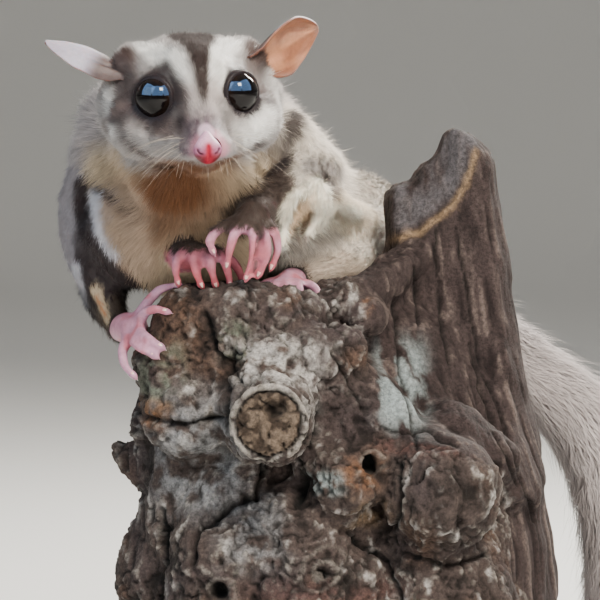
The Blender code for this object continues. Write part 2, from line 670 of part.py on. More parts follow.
# The tall broken slab on the right, in millimetres: its outline as seen from the front, clockwise from
# below, and its layers from front to back: the places of a layer at the foot and at the top, and its width
SPLINTER_OUTLINE = [
    (-4, 84), (0, 112), (6.5, 122), (6.5, 136), (11.8, 137.4), (13.2, 141), (17.8, 144), (19.2, 149), (22, 149),
    (25.3, 146.5), (28, 145.5), (29.6, 141), (31.2, 134), (34.4, 112), (36.5, 94), (40.5, 80), (40, 70),
]
SPLINTER_LAYERS = [(-27, -7, 0.74), (-20, -3, 0.96), (4, 6, 1.0), (22, 10, 0.80)]
SPLINTER_MIDDLE = 21


def add_splinter(form):
    """A slab from the outline's layers, each narrower towards the front and the back."""
    low = min(z for _, z in SPLINTER_OUTLINE)
    high = max(z for _, z in SPLINTER_OUTLINE)
    rings = []
    for foot, top, width in SPLINTER_LAYERS:
        ring = []
        for x, z in SPLINTER_OUTLINE:
            y = foot + (top - foot) * math.sqrt((z - low) / (high - low))
            ring.append(form.verts.new((SPLINTER_MIDDLE + (x - SPLINTER_MIDDLE) * width, y, z)))
        rings.append(ring)
    faces = [form.faces.new(rings[0]), form.faces.new(rings[-1])]
    for near, far in zip(rings, rings[1:]):
        for index in range(len(near)):
            after = (index + 1) % len(near)
            faces.append(form.faces.new((near[index], near[after], far[after], far[index])))
    bmesh.ops.recalc_face_normals(form, faces=faces)


def roughen(obj, name, scale, strength):
    texture = bpy.data.textures.new(name, "CLOUDS")
    texture.noise_scale = scale
    texture.noise_depth = 1
    lumps = obj.modifiers.new(name, "DISPLACE")
    lumps.texture = texture
    lumps.texture_coords = "GLOBAL"
    lumps.strength = strength
    lumps.mid_level = 0.5
    apply_modifiers(obj)


# Stand


def build_stand(parts, perch, cutters):
    outline = []
    for corner, (sx, sy) in enumerate([(1, 1), (-1, 1), (-1, -1), (1, -1)]):
        centre = Vector((sx * (BASE_LENGTH / 2 - BASE_CORNER), sy * (BASE_DEPTH / 2 - BASE_CORNER)))
        for step in range(7):
            turn = math.radians(corner * 90 + step * 15)
            outline.append(centre + Vector((math.cos(turn), math.sin(turn))) * BASE_CORNER)
    shape = bmesh.new()
    face = shape.faces.new([shape.verts.new((*point, 0)) for point in outline])
    top = bmesh.ops.extrude_face_region(shape, geom=[face])["geom"]
    raised = [item for item in top if isinstance(item, bmesh.types.BMVert)]
    bmesh.ops.translate(shape, vec=(0, 0, BASE_THICKNESS), verts=raised)
    bmesh.ops.recalc_face_normals(shape, faces=shape.faces)
    mesh = bpy.data.meshes.new("stand_base")
    shape.to_mesh(mesh)
    shape.free()
    base = link_mesh("stand_base", mesh, parts, finish_of("stand_wood", STAND_WOOD, 0.4))
    soften = base.modifiers.new("edge", "BEVEL")
    soften.width = BASE_EDGE
    soften.segments = 2
    soften.limit_method = "ANGLE"
    for name, (x, y) in ROD_PLACES.items():
        low, high = BASE_THICKNESS + GAP, PERCH_BOTTOM - GAP
        bpy.ops.mesh.primitive_cylinder_add(
            vertices=24, radius=ROD_RADIUS, depth=high - low, location=(x, y, (low + high) / 2)
        )
        rod = bpy.context.object
        rod.name = "stand_rod_" + name
        rod.data.materials.append(finish_of("stand_steel", STAND_STEEL, 0.3, 1.0))
        move_to(rod, parts)


def main():
    clear_scene()
    parts = new_collection("sugar_glider")
    cutters = new_collection("cutters")
    cutters.hide_render = True
    eyes = [build_eye(side, "eye_" + name, parts) for name, side in (("left", 1), ("right", -1))]
    nose = build_nose(parts, cutters)
    head = build_head(parts, cutters, eyes, nose)
    ears = [build_ear(name, parts, cutters, head) for name in EARS]
    neck = build_neck(parts, cutters, head)
    cut_clear(neck, ears, cutters, LOOSE_GAP)
    thin_to(neck, NECK_TRIANGLES)
    paws = [build_paw("hand_" + name, spec, parts) for name, spec in HANDS.items()]
    paws += [build_paw("foot_" + name, spec, parts) for name, spec in FEET.items()]
    limbs = []
    for name, line in ARMS.items():
        limbs.append(build_limb("arm_" + name, line, ARM_RADII[name], parts, cutters, [*paws, head, neck]))
    for name, line in LEGS.items():
        limbs.append(build_limb("leg_" + name, line, LEG_RADII[name], parts, cutters, [*paws, *limbs]))
    patagia = []
    for name in PATAGIA:
        patagia.append(build_patagium(name, parts, cutters, [*paws, *limbs, *patagia, head, neck]))
    torso = build_torso(parts)
    cut_clear(torso, [neck, head, *paws, *limbs, *patagia], cutters, LOOSE_GAP)
    thin_to(torso, TORSO_TRIANGLES)
    tail = build_tail(parts, cutters, torso)
    perch = build_perch(parts, cutters, [*paws, *limbs, *patagia, torso, *tail, head, neck])
    build_stand(parts, perch, cutters)


main()
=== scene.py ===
# Sugar glider on the broken stump that it grips: skin, coat, eyes, ears, claws, whiskers, wood and stand.
# Metres, +Z up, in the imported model's frame. The animal faces -Y, and +X is its left.
# Sizes in the dictionaries are millimetres, and angles are degrees.
import itertools
import math

import bmesh
import bpy
import numpy as np
from mathutils import Matrix, Vector
from mathutils.bvhtree import BVHTree


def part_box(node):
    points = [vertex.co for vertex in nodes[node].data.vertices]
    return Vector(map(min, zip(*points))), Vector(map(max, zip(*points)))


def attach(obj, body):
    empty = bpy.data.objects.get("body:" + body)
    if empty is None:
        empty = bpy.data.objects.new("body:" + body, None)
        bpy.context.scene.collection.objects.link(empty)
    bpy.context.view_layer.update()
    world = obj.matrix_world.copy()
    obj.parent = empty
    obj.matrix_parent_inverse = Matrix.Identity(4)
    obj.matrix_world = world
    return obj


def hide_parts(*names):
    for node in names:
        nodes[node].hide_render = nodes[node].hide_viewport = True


mm = 0.001
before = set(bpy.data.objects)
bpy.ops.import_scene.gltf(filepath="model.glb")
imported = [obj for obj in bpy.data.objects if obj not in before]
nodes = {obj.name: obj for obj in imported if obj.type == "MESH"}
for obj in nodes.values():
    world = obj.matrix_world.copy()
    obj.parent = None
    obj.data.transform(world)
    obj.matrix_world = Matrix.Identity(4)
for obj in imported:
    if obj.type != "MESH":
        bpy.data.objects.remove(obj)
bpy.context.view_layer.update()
bpy.ops.object.select_all(action="DESELECT")

# A long lens a metre away, level with the chest and looking slightly down.
# At that distance, where the eyes are, one pixel of the 600 covers pixelSize
view = {
    "pixelSize": 0.205,
    "pixels": 600,
    "distance": 1000,
    "lookDown": 3,
    "target": (-12, -52, 115),
    "sensor": 36,
}


def makeCamera():
    down = math.radians(view["lookDown"])
    look = Vector((0, math.cos(down), -math.sin(down)))
    camera = bpy.data.objects.new("camera", bpy.data.cameras.new("camera"))
    bpy.context.scene.collection.objects.link(camera)
    camera.location = Vector(view["target"]) * mm - look * view["distance"] * mm
    camera.rotation_euler = look.to_track_quat("-Z", "Y").to_euler()
    camera.data.sensor_width = view["sensor"]
    camera.data.lens = view["sensor"] * view["distance"] / (view["pixelSize"] * view["pixels"])
    camera.data.clip_start = 0.05
    bpy.context.scene.camera = camera


# Numbers and noise


def ramp(low, high, values):  # 0 at low, 1 at high, with soft ends; low may be the larger
    part = np.clip((values - low) / (high - low), 0, 1)
    return part * part * (3 - 2 * part)


def bell(values, width):
    return np.exp(-((values / width) ** 2))


def plateau(across, up):  # near 1 inside a rounded square that reaches from -1 to 1, falling to 0 around it
    return np.exp(-(across**4) - up**4)


def unit(vectors):
    return vectors / np.maximum(np.linalg.norm(vectors, axis=-1, keepdims=True), 1e-12)


def dots(a, b):
    return np.sum(a * b, axis=-1)


def seen(red, green, blue):  # a colour as a screen shows it, to the linear values that shaders take
    level = np.array((red, green, blue)) / 255
    return np.where(level <= 0.04045, level / 12.92, ((level + 0.055) / 1.055) ** 2.4)


def blendTo(base, colour, amount):
    return base + (colour - base) * np.clip(amount, 0, 1)[:, None]


# Blends one named tone after another into a base, each by an amount for every point
def toned(table, base, *steps):
    colour = table[base] if isinstance(base, str) else base
    for name, amount in steps:
        colour = blendTo(colour, table[name], amount)
    return colour


def waveNoise(points, size, seed, octaves=1):  # smooth, from about -1 to 1
    values = np.random.default_rng(seed).uniform(-1, 1, (32, 32, 32))
    total = np.zeros(len(points))
    for octave in range(octaves):
        place = points * (2**octave / size) + 7.31 * octave
        cell = np.floor(place).astype(int)
        part = place - cell
        part = part * part * (3 - 2 * part)
        for corner in itertools.product((0, 1), repeat=3):
            weight = np.prod(np.where(np.array(corner) == 1, part, 1 - part), axis=1)
            x, y, z = ((cell + corner) % 32).T
            total += weight * values[x, y, z] / 2**octave
    return total


def cellCracks(points, size, seed):  # how far each point is from the border between its cell and the next
    strewn = np.random.default_rng(seed).random((16, 16, 16, 3))
    place = points / size
    cell = np.floor(place).astype(int)
    near = np.full(len(points), 9.0)
    second = near.copy()
    for step in itertools.product((-1, 0, 1), repeat=3):
        other = cell + step
        x, y, z = (other % 16).T
        away = np.linalg.norm(place - other - strewn[x, y, z], axis=1)
        second = np.where(away < near, near, np.minimum(second, away))
        near = np.minimum(near, away)
    return second - near


# The distance from each point to a line of points, the share of the line where it is nearest,
# and the line's way there
def lineDistance(points, line):
    line = np.asarray(line, float)
    best = np.full(len(points), np.inf)
    along = np.zeros(len(points))
    ways = np.zeros((len(points), line.shape[1]))
    for number, (start, end) in enumerate(zip(line, line[1:])):
        span = end - start
        part = np.clip((points - start) @ span / (span @ span), 0, 1)
        away = np.linalg.norm(points - start - part[:, None] * span, axis=1)
        closer = away < best
        best = np.where(closer, away, best)
        along = np.where(closer, (number + part) / (len(line) - 1), along)
        ways[closer] = span / np.linalg.norm(span)
    return best, along, ways


# A mark is a line, its half width, how soft its edge is, its colour and its strength
def drawMarks(colour, places, marks):
    for line, half, soft, shade, strength in marks:
        away = lineDistance(places, line)[0]
        colour = blendTo(colour, shade, strength * ramp(half + soft, half - soft * 0.4, away))
    return colour


# The head's own frame: millimetres, origin between the eyes, nose towards -Y, crown towards +Z

headLevel = {"noseDrop": 19.5, "betweenEyes": (0, 0.9, 0.2)}


def centreOf(node):
    low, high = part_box(node)
    return (low + high) / 2


def headMatrix():
    left, right, nose = (centreOf(node) for node in ("eye_left", "eye_right", "nose"))
    middle = (left + right) / 2
    across = (left - right).normalized()
    ahead = nose - middle
    ahead = (ahead - across * ahead.dot(across)).normalized()
    ahead = Matrix.Rotation(-math.radians(headLevel["noseDrop"]), 3, across) @ ahead
    turn = Matrix((across, -ahead, across.cross(-ahead))).transposed()
    return Matrix.Translation(middle - turn @ Vector(headLevel["betweenEyes"]) * mm) @ turn.to_4x4()


headPlace = headMatrix()
headTurn = np.array(headPlace.to_3x3())
headOrigin = np.array(headPlace.translation)


def inHead(points):
    return (points - headOrigin) @ headTurn / mm


def fromHead(points):
    return np.asarray(points, float) * mm @ headTurn.T + headOrigin


eye = {"radius": 4.6, "opening": 3.95, "gazeOut": 34, "gazeUp": 6, "rimThickness": 0.5}
noseTip = inHead(np.array(centreOf("nose"))[None])[0]
sideOf = {"left": 1, "right": -1}
eyeCentres = {side: inHead(np.array(centreOf("eye_" + name))[None])[0] for name, side in sideOf.items()}


def gaze(side):
    out, up = math.radians(eye["gazeOut"]), math.radians(eye["gazeUp"])
    return np.array((side * math.sin(out) * math.cos(up), -math.cos(out) * math.cos(up), math.sin(up)))


# In the head's frame: how far each point is from an eye's axis of gaze, how far along it,
# and its offset from the eye's centre
def aroundEye(inner, side):
    away = inner - eyeCentres[side]
    ahead = dots(away, gaze(side))
    across = np.linalg.norm(away - ahead[:, None] * gaze(side), axis=1)
    return across, ahead, away


# Meshes


def linkMesh(name, mesh, *materials):
    made = bpy.data.objects.new(name, mesh)
    bpy.context.scene.collection.objects.link(made)
    mesh.materials.clear()
    for material in materials:
        mesh.materials.append(material)
    return made


def selectOnly(obj):
    bpy.ops.object.select_all(action="DESELECT")
    obj.select_set(True)
    bpy.context.view_layer.objects.active = obj


def settle(obj):  # applies the object's modifiers
    selectOnly(obj)
    for modifier in list(obj.modifiers):
        bpy.ops.object.modifier_apply(modifier=modifier.name)
    obj.select_set(False)
    return obj


def settlePlace(obj):  # moves the object's place and turn into its mesh
    obj.data.transform(obj.matrix_basis)
    obj.matrix_basis = Matrix.Identity(4)
    return obj


def joined(name, objects):
    shape = bmesh.new()
    for obj in objects:
        settlePlace(obj)
        shape.from_mesh(obj.data)
        bpy.data.objects.remove(obj)
    mesh = bpy.data.meshes.new(name)
    shape.to_mesh(mesh)
    shape.free()
    return linkMesh(name, mesh)


def nodeCopy(node):
    shape = bmesh.new()
    shape.from_mesh(nodes[node].data)
    bmesh.ops.remove_doubles(shape, verts=shape.verts, dist=1e-6)
    mesh = bpy.data.meshes.new(node + "_copy")
    shape.to_mesh(mesh)
    shape.free()
    return linkMesh(node + "_copy", mesh)


# Copies of CAD nodes, rounded by subdivision and grown so that neighbours run into each other
def softCopy(name, sources, levels, grow, extra=()):
    copies = []
    for source in sources:
        copy = nodeCopy(source)
        copy.modifiers.new("round", "SUBSURF").levels = levels
        swell = copy.modifiers.new("swell", "DISPLACE")
        swell.strength = grow * mm
        swell.mid_level = 0
        copies.append(settle(copy))
    return joined(name, [*copies, *extra])


def remeshed(obj, voxel, steps):
    fuse = obj.modifiers.new("fuse", "REMESH")
    fuse.mode = "VOXEL"
    fuse.voxel_size = voxel * mm
    soften = obj.modifiers.new("soften", "SMOOTH")
    soften.factor = 0.5
    soften.iterations = steps
    return settle(obj)


def united(obj, other):
    join = obj.modifiers.new("join", "BOOLEAN")
    join.operation = "UNION"
    join.solver = "MANIFOLD"
    join.object = other
    settle(obj)
    bpy.data.objects.remove(other)
    return obj


def addBall(centre, radius, segments=32, rings=16):
    bpy.ops.mesh.primitive_uv_sphere_add(segments=segments, ring_count=rings, radius=radius * mm)
    ball = bpy.context.object
    ball.location = centre
    return ball


def readAll(items, key, width, kind=np.float32):
    flat = np.empty(len(items) * width, kind)
    items.foreach_get(key, flat)
    return flat.reshape(-1, width)


def pointsOf(mesh):
    return readAll(mesh.vertices, "co", 3).astype(float)


def putPoints(mesh, points):
    mesh.vertices.foreach_set("co", points.astype(np.float32).ravel())
    mesh.update()


def normalsOf(mesh):
    return readAll(mesh.vertex_normals, "vector", 3).astype(float)


def trianglesOf(mesh):  # the corner vertices and the corner loops of each triangle
    mesh.calc_loop_triangles()
    return [readAll(mesh.loop_triangles, key, 3, np.int32) for key in ("vertices", "loops")]


def edgesOf(mesh):
    return readAll(mesh.edges, "vertices", 2, np.int32)


def spread(values, edges, rounds, keep=0.0):  # evens values out: each point takes its neighbours' mean
    values = values.reshape(len(values), -1)
    count = len(values)
    first, second = edges.T
    shares = np.maximum(np.bincount(edges.ravel(), minlength=count), 1)[:, None]
    for _ in range(rounds):
        total = [
            np.bincount(first, column[second], count) + np.bincount(second, column[first], count)
            for column in values.T
        ]
        values = keep * values + (1 - keep) * np.stack(total, axis=1) / shares
    return values


def treeOf(mesh):
    corners = [vert.co for vert in mesh.vertices]
    return BVHTree.FromPolygons(corners, [face.vertices for face in mesh.polygons])


def paint(mesh, name, colours):  # one linear colour a point
    layer = mesh.color_attributes.new(name, "FLOAT_COLOR", "POINT")
    full = np.ones((len(mesh.vertices), 4), np.float32)
    full[:, :3] = colours
    layer.data.foreach_set("color", full.ravel())


def meshFromArrays(name, points, faces, *materials):
    mesh = bpy.data.meshes.new(name)
    mesh.vertices.add(len(points))
    mesh.vertices.foreach_set("co", points.astype(np.float32).ravel())
    mesh.loops.add(faces.size)
    mesh.loops.foreach_set("vertex_index", faces.astype(np.int32).ravel())
    mesh.polygons.add(len(faces))
    mesh.polygons.foreach_set("loop_start", np.arange(0, faces.size, faces.shape[1], dtype=np.int32))
    mesh.update(calc_edges=True)
    return linkMesh(name, mesh, *materials)


# Closed tubes along lines of points in metres, each with a radius for every point
def tubes(name, lines, radii, sides, *materials):
    points, faces = [], []
    turns = np.linspace(0, 2 * math.pi, sides, endpoint=False)
    for line, sizes in zip(lines, radii):
        line = np.asarray(line, float)
        start = len(points)
        way = unit(np.gradient(line, axis=0))
        level = (0, 0, 1) if abs(way[:, 2].mean()) < 0.8 else (1, 0, 0)
        first = unit(np.cross(way, level))
        second = np.cross(way, first)
        for place, a, b, size in zip(line, first, second, sizes):
            points += [place + (a * math.cos(turn) + b * math.sin(turn)) * size for turn in turns]
        for ring in range(len(line) - 1):
            for side in range(sides):
                here = start + ring * sides + side
                after = start + ring * sides + (side + 1) % sides
                faces += [(here, after, after + sides), (here, after + sides, here + sides)]
        last = start + (len(line) - 1) * sides
        for side in range(1, sides - 1):
            faces += [(start, start + side + 1, start + side), (last, last + side, last + side + 1)]
    made = meshFromArrays(name, np.array(points), np.array(faces), *materials)
    made.data.shade_smooth()
    return made


# Materials


def newMaterial(name, roughness=0.6, **inputs):
    made = bpy.data.materials.new(name)
    made.use_nodes = True
    shader = made.node_tree.nodes["Principled BSDF"]
    shader.inputs["Roughness"].default_value = roughness
    for socket, value in inputs.items():
        shader.inputs[socket].default_value = value
    return made, made.node_tree, shader


def addNode(tree, kind, **settings):
    made = tree.nodes.new(kind)
    for name, value in settings.items():
        if name in made.inputs:
            made.inputs[name].default_value = value
        else:
            setattr(made, name, value)
    return made


def addBump(tree, shader, height, strength, distance):
    bump = addNode(tree, "ShaderNodeBump", Strength=strength, Distance=distance * mm)
    tree.links.new(height, bump.inputs["Height"])
    tree.links.new(bump.outputs["Normal"], shader.inputs["Normal"])


# A noise texture in object space, with features of about size millimetres
def noiseNode(tree, size, detail=4, rough=0.55, stretch=(1, 1, 1)):
    place = addNode(tree, "ShaderNodeTexCoord")
    scale = addNode(tree, "ShaderNodeMapping")
    scale.inputs["Scale"].default_value = stretch
    noise = addNode(tree, "ShaderNodeTexNoise", Scale=1 / (size * mm), Detail=detail, Roughness=rough)
    tree.links.new(place.outputs["Object"], scale.inputs["Vector"])
    tree.links.new(scale.outputs["Vector"], noise.inputs["Vector"])
    return noise.outputs["Fac"]


def painted(tree, shader, layer):  # the base colour is the painted one
    colour = addNode(tree, "ShaderNodeVertexColor", layer_name=layer)
    tree.links.new(colour.outputs["Color"], shader.inputs["Base Color"])


# The painted colour, made darker and lighter by a noise, from low to high
def mottled(tree, shader, layer, noise, low, high):
    colour = addNode(tree, "ShaderNodeVertexColor", layer_name=layer)
    level = addNode(tree, "ShaderNodeMapRange")
    for name, value in (("From Min", 0.3), ("From Max", 0.7), ("To Min", low), ("To Max", high)):
        level.inputs[name].default_value = value
    tree.links.new(noise, level.inputs["Value"])
    mix = addNode(tree, "ShaderNodeVectorMath", operation="SCALE")
    tree.links.new(colour.outputs["Color"], mix.inputs[0])
    tree.links.new(level.outputs["Result"], mix.inputs["Scale"])
    tree.links.new(mix.outputs["Vector"], shader.inputs["Base Color"])


def varied(tree, shader, noise, first, second):  # the base colour goes from one tone to the other
    blend = addNode(tree, "ShaderNodeValToRGB")
    for stop, place, tone in zip(blend.color_ramp.elements, (0.35, 0.65), (first, second)):
        stop.position = place
        stop.color = (*tone, 1)
    tree.links.new(noise, blend.inputs["Fac"])
    tree.links.new(blend.outputs["Color"], shader.inputs["Base Color"])


def furMaterial():
    made, tree, shader = newMaterial(
        "fur", 0.75, **{"Specular IOR Level": 0.1, "Sheen Weight": 0.05, "Sheen Roughness": 0.4}
    )
    painted(tree, shader, "coat")
    return made


def skinMaterial():
    made, tree, shader = newMaterial(
        "skin", 0.46,
        **{
            "Subsurface Weight": 0.2, "Subsurface Scale": 1.0 * mm, "Subsurface Radius": (1.0, 0.4, 0.3),
            "Specular IOR Level": 0.22,
        },
    )
    mottled(tree, shader, "coat", noiseNode(tree, 0.9, 4), 0.86, 1.1)
    addBump(tree, shader, noiseNode(tree, 0.42, 5, 0.6), 0.5, 0.14)
    return made


# The coat of each part: how deep the skin lies under the tips, the tufts' length, width and lift from the
# skin, tufts a square millimetre, and whether they bend
coatKeys = ("depth", "length", "width", "lift", "density", "bends")
coats = {
    "head": (0.8, 2.2, 0.125, 21, 21.0, False),
    "neck": (1.6, 4.2, 0.17, 26, 12.0, False),
    "torso": (2.0, 4.8, 0.19, 25, 8.0, False),
    "arm": (1.0, 3.0, 0.15, 23, 14.0, False),
    "leg": (1.3, 3.2, 0.18, 21, 8.0, False),
    "patagium": (0.5, 1.9, 0.15, 18, 12.0, False),
    "tail": (3.2, 7.0, 0.25, 27, 3.6, True),
    "hand": (0.1, 2.2, 0.14, 22, 22.0, False),
    "foot": (0.1, 1.7, 0.12, 20, 14.0, False),
}
coats = {part: dict(zip(coatKeys, row)) for part, row in coats.items()}
guardHairs = {"share": 0.05, "length": 1.4, "width": 0.5, "lift": 1.5}

# Lines that the hair follows, from the front to the back
lies = {
    "neck": [(-33, -62, 150), (-35, -40, 151), (-37, -20, 148.5), (-36, 0, 147)],
    "torso": [(-37, -26, 148), (-36, 0, 147), (-30, 26, 146), (-21, 50, 135), (-12, 72, 124)],
    "arm_left": [(-16.5, -10, 150), (-6, -8, 141), (-13.5, -22, 139), (-20, -34, 134)],
    "arm_right": [(-52, -8, 146), (-57, -4, 131), (-48, -15, 126), (-37.5, -27, 123.5)],
    "leg_left": [(0, 40, 132), (2, 18, 122), (-2, 6, 119.5), (-7, -2, 118.5), (-12.5, -7.5, 117.4)],
    "leg_right": [(-49, 36, 132), (-53, 12, 122), (-54.5, -4, 118), (-53, -14, 112.5), (-50, -21, 107.5)],
    "patagium_left": [(-6, -24, 137), (-6, -16, 132), (0, 6, 129), (6, 30, 126), (4, 50, 124)],
    "patagium_right": [(-58, -14, 142), (-61, -12, 130), (-59, -8, 118), (-54, -16, 106)],
    "tail": [
        (-13, 68, 126), (-4, 77, 123), (8, 77, 117.5), (20, 69, 109), (30, 58, 99.5), (40, 48, 92.5),
        (48.5, 44, 86), (55, 42.5, 75.5), (58, 41.5, 63.5), (59.5, 41, 51), (59.5, 42, 39), (56.5, 44, 29),
        (49.5, 47, 22.5), (41, 50, 21), (34, 52, 23),
    ],
}
pawNodes = ["hand_left", "hand_right", "foot_left", "foot_right"]
bodyNodes = [
    "neck", "torso", "arm_left", "arm_right", "leg_left", "leg_right", "patagium_left", "patagium_right",
    *(f"tail_{number}" for number in range(1, 6)),
]
fleshNodes = ["head", *bodyNodes, *pawNodes]
parts = np.array([name.split("_")[0] for name in fleshNodes])
skinShape = {
    "bodyVoxel": 1.1, "headVoxel": 0.42, "pawVoxel": 0.34,
    "bodySwell": 0.5, "headSwell": 0.25, "pawSwell": 0.1,
    "under": 0.3, "slim": 0.3,
    "earBase": 2.9, "earBases": [(12.9, 10.6, 5.4), (-13.9, 10.6, 5.4)],
    # How far the skin rises or sinks along lines, and over what width. Creases lie before a y
    "loopRise": (1.3, 1.15), "pocketDepth": (1.1, 1.6), "creaseDepth": (1.7, 0.6), "creaseFront": -39,
}
# Lines between digits that lie close together, as x and z
creases = [[(-19.6, 129.8), (-20.3, 126), (-21.7, 119.6)]]
bareMuzzle = (-0.6, -17.2, -3.9)  # the pale bare patch above the nose
mouthLine = [(0, -18.2, -9.7), (2.2, -16.8, -10.4), (4.6, -13, -10.8), (6.3, -9, -10.8), (9.0, -4.6, -10.3)]


def buildSkin():
    body = remeshed(softCopy("skin", bodyNodes, 2, skinShape["bodySwell"]), skinShape["bodyVoxel"], 4)
    balls = [addBall(centreOf("eye_" + name), eye["radius"] + 0.1) for name in sideOf]
    balls += [addBall(fromHead(place), skinShape["earBase"]) for place in skinShape["earBases"]]
    head = softCopy("head_skin", ["head"], 1, skinShape["headSwell"], balls)
    remeshed(head, skinShape["headVoxel"], 5)
    paws = remeshed(softCopy("paw_skin", pawNodes, 1, skinShape["pawSwell"]), skinShape["pawVoxel"], 2)
    skin = united(united(body, head), paws)
    mesh = skin.data
    mesh.materials.clear()
    home = pointsOf(mesh)
    edges = edgesOf(mesh)
    owner = nearestNodes(home)
    fields = {
        key: np.array([coats[part][key] for part in parts])[owner].astype(float)
        for key in coatKeys[:-1]
    }
    bare = bareness(home / mm, owner)
    short = shortness(home)
    fields["length"] *= short
    fields["width"] *= 0.6 + 0.4 * short
    fields["density"] /= 0.55 + 0.45 * short
    for key in ("depth", "length", "lift", "width"):
        fields[key] = spread(fields[key], edges, 12)[:, 0]
    normals = normalsOf(mesh)
    depth = np.minimum(fields["depth"], 0.3 * thickness(home, normals, mesh)) * short
    inset = spread(depth + skinShape["under"], edges, 6)[:, 0] * (1 - bare) + skinShape["slim"] * bare
    inner = home - normals * inset[:, None] * mm
    inner = np.where(bare[:, None] > 0, inner, spread(inner, edges, 3))
    faced = ramp(6, -2, home[:, 1] / mm) * ramp(0.1, 0.5, -normals[:, 1]) * (bare < 0.1)
    flat = home[:, [0, 2]] / mm
    rise, wide = skinShape["loopRise"]
    raised = rise * bell(lineDistance(flat, loop)[0], wide)
    depth, wide = skinShape["pocketDepth"]
    raised -= depth * bell(lineDistance(flat, pocket)[0], wide)
    inner += normals * (raised * faced)[:, None] * mm
    depth, wide = skinShape["creaseDepth"]
    onDigits = bare * (home[:, 1] / mm < skinShape["creaseFront"]) * ramp(0, 0.5, -normals[:, 1])
    for line in creases:
        sunk = depth * bell(lineDistance(flat, line)[0], wide) * onDigits
        inner -= normals * sunk[:, None] * mm
    putPoints(mesh, shapeFace(inner, normals))
    mesh.shade_smooth()
    flow = coatFlow(home, owner, normalsOf(mesh), edges)
    fields.update(home=home, owner=owner, bare=bare, flow=flow)
    print("skin:", len(home), "points,", len(trianglesOf(mesh)[0]), "triangles")
    return skin, fields


def nearestNodes(points):  # for each point, the number of the flesh node whose surface is nearest
    corners, faces, owners = [], [], []
    for number, name in enumerate(fleshNodes):
        mesh = nodes[name].data
        start = len(corners)
        corners += [vert.co for vert in mesh.vertices]
        faces += [[start + index for index in face.vertices] for face in mesh.polygons]
        owners += [number] * len(mesh.polygons)
    tree = BVHTree.FromPolygons(corners, faces)
    return np.array([owners[tree.find_nearest(Vector(point))[2]] for point in points])


def thickness(points, normals, mesh, most=20.0):  # of the flesh under each point, up to most millimetres
    tree = treeOf(mesh)
    found = np.full(len(points), most)
    for number, (point, normal) in enumerate(zip(points, normals)):
        inward = Vector(-normal)
        hit = tree.ray_cast(Vector(point) + inward * 0.05 * mm, inward, most * mm)
        if hit[3] is not None:
            found[number] = hit[3] / mm
    return found


def shortness(points):  # 1 where the coat has its full length, less on the muzzle and round the eyes
    inner = inHead(points)
    share = 0.40 + 0.60 * ramp(2.5, 13, np.linalg.norm(inner - noseTip, axis=1))
    for side in eyeCentres:
        across, ahead, _ = aroundEye(inner, side)
        near = ramp(9.0, 4.8, across) * ramp(-6, -3, ahead)
        share = np.minimum(share, 1 - 0.68 * near)
    return share


def shapeFace(points, normals):  # the lids close round the eyeballs, and the mouth's line is pressed in
    inner = inHead(points)
    edge = math.degrees(math.asin(eye["opening"] / eye["radius"]))
    top = eye["radius"] + eye["rimThickness"]
    for side in eyeCentres:
        _, ahead, away = aroundEye(inner, side)
        far = np.linalg.norm(away, axis=1)
        turned = np.degrees(np.arccos(np.clip(ahead / np.maximum(far, 1e-6), -1, 1)))
        wanted = np.interp(
            turned,
            [0, edge - 3, edge + 1, edge + 5, edge + 14, edge + 26],
            [eye["radius"] - 0.8, eye["radius"] - 0.7, eye["radius"] + 0.1, top, top - 0.05, top - 0.2],
        )
        weight = ramp(edge + 30, edge + 12, turned) * ramp(eye["radius"] + 4.2, eye["radius"] + 2.2, far)
        inner += unit(away) * ((wanted - far) * weight)[:, None]
    push = normals @ headTurn
    for side in (1, -1):
        line = [(x * side, y, z) for x, y, z in mouthLine]
        away, along, _ = lineDistance(inner, line)
        inner -= push * (0.8 * bell(away, 0.5) * (1 - 0.45 * along))[:, None]
        lip = bell(away - 1.0, 0.45) * (inner[:, 2] < -10.6) * (1 - along)
        inner += push * (0.25 * lip)[:, None]
    return fromHead(inner)


def coatFlow(points, owner, normals, edges):  # the way the hair lies at each point, along the skin
    flow = np.zeros((len(points), 3))
    for number, name in enumerate(fleshNodes):
        mine = owner == number
        if name == "head":
            flow[mine] = headFlow(points[mine])
            continue
        line = lies.get(name, lies.get(parts[number]))
        if line is None:
            flow[mine] = (0, -0.3, -1.0)
            continue
        way = lineDistance(points[mine] / mm, line)[2]
        if parts[number] in ("torso", "neck"):
            way = way + np.array((0, 0.1, -0.55)) * (1 - ramp(0.2, 0.9, normals[mine][:, 2]))[:, None]
        flow[mine] = unit(way)
    flow = spread(flow, edges, 24, 0.3)
    wander = np.stack([waveNoise(points / mm, 8, seed, 2) for seed in (11, 12, 13)], axis=1)
    flow = unit(flow) + 0.16 * wander
    return unit(flow - normals * dots(flow, normals)[:, None])


def headFlow(points):  # back from the nose, and away from the rims of the eyes
    inner = inHead(points)
    way = unit(inner - np.array((0, -24, -6)))
    for side in eyeCentres:
        away = inner - eyeCentres[side] - gaze(side) * 2
        near = ramp(8.5, 4.5, np.linalg.norm(away, axis=1))
        way = way + unit(away) * (1.1 * near)[:, None]
    return unit(way) @ headTurn.T
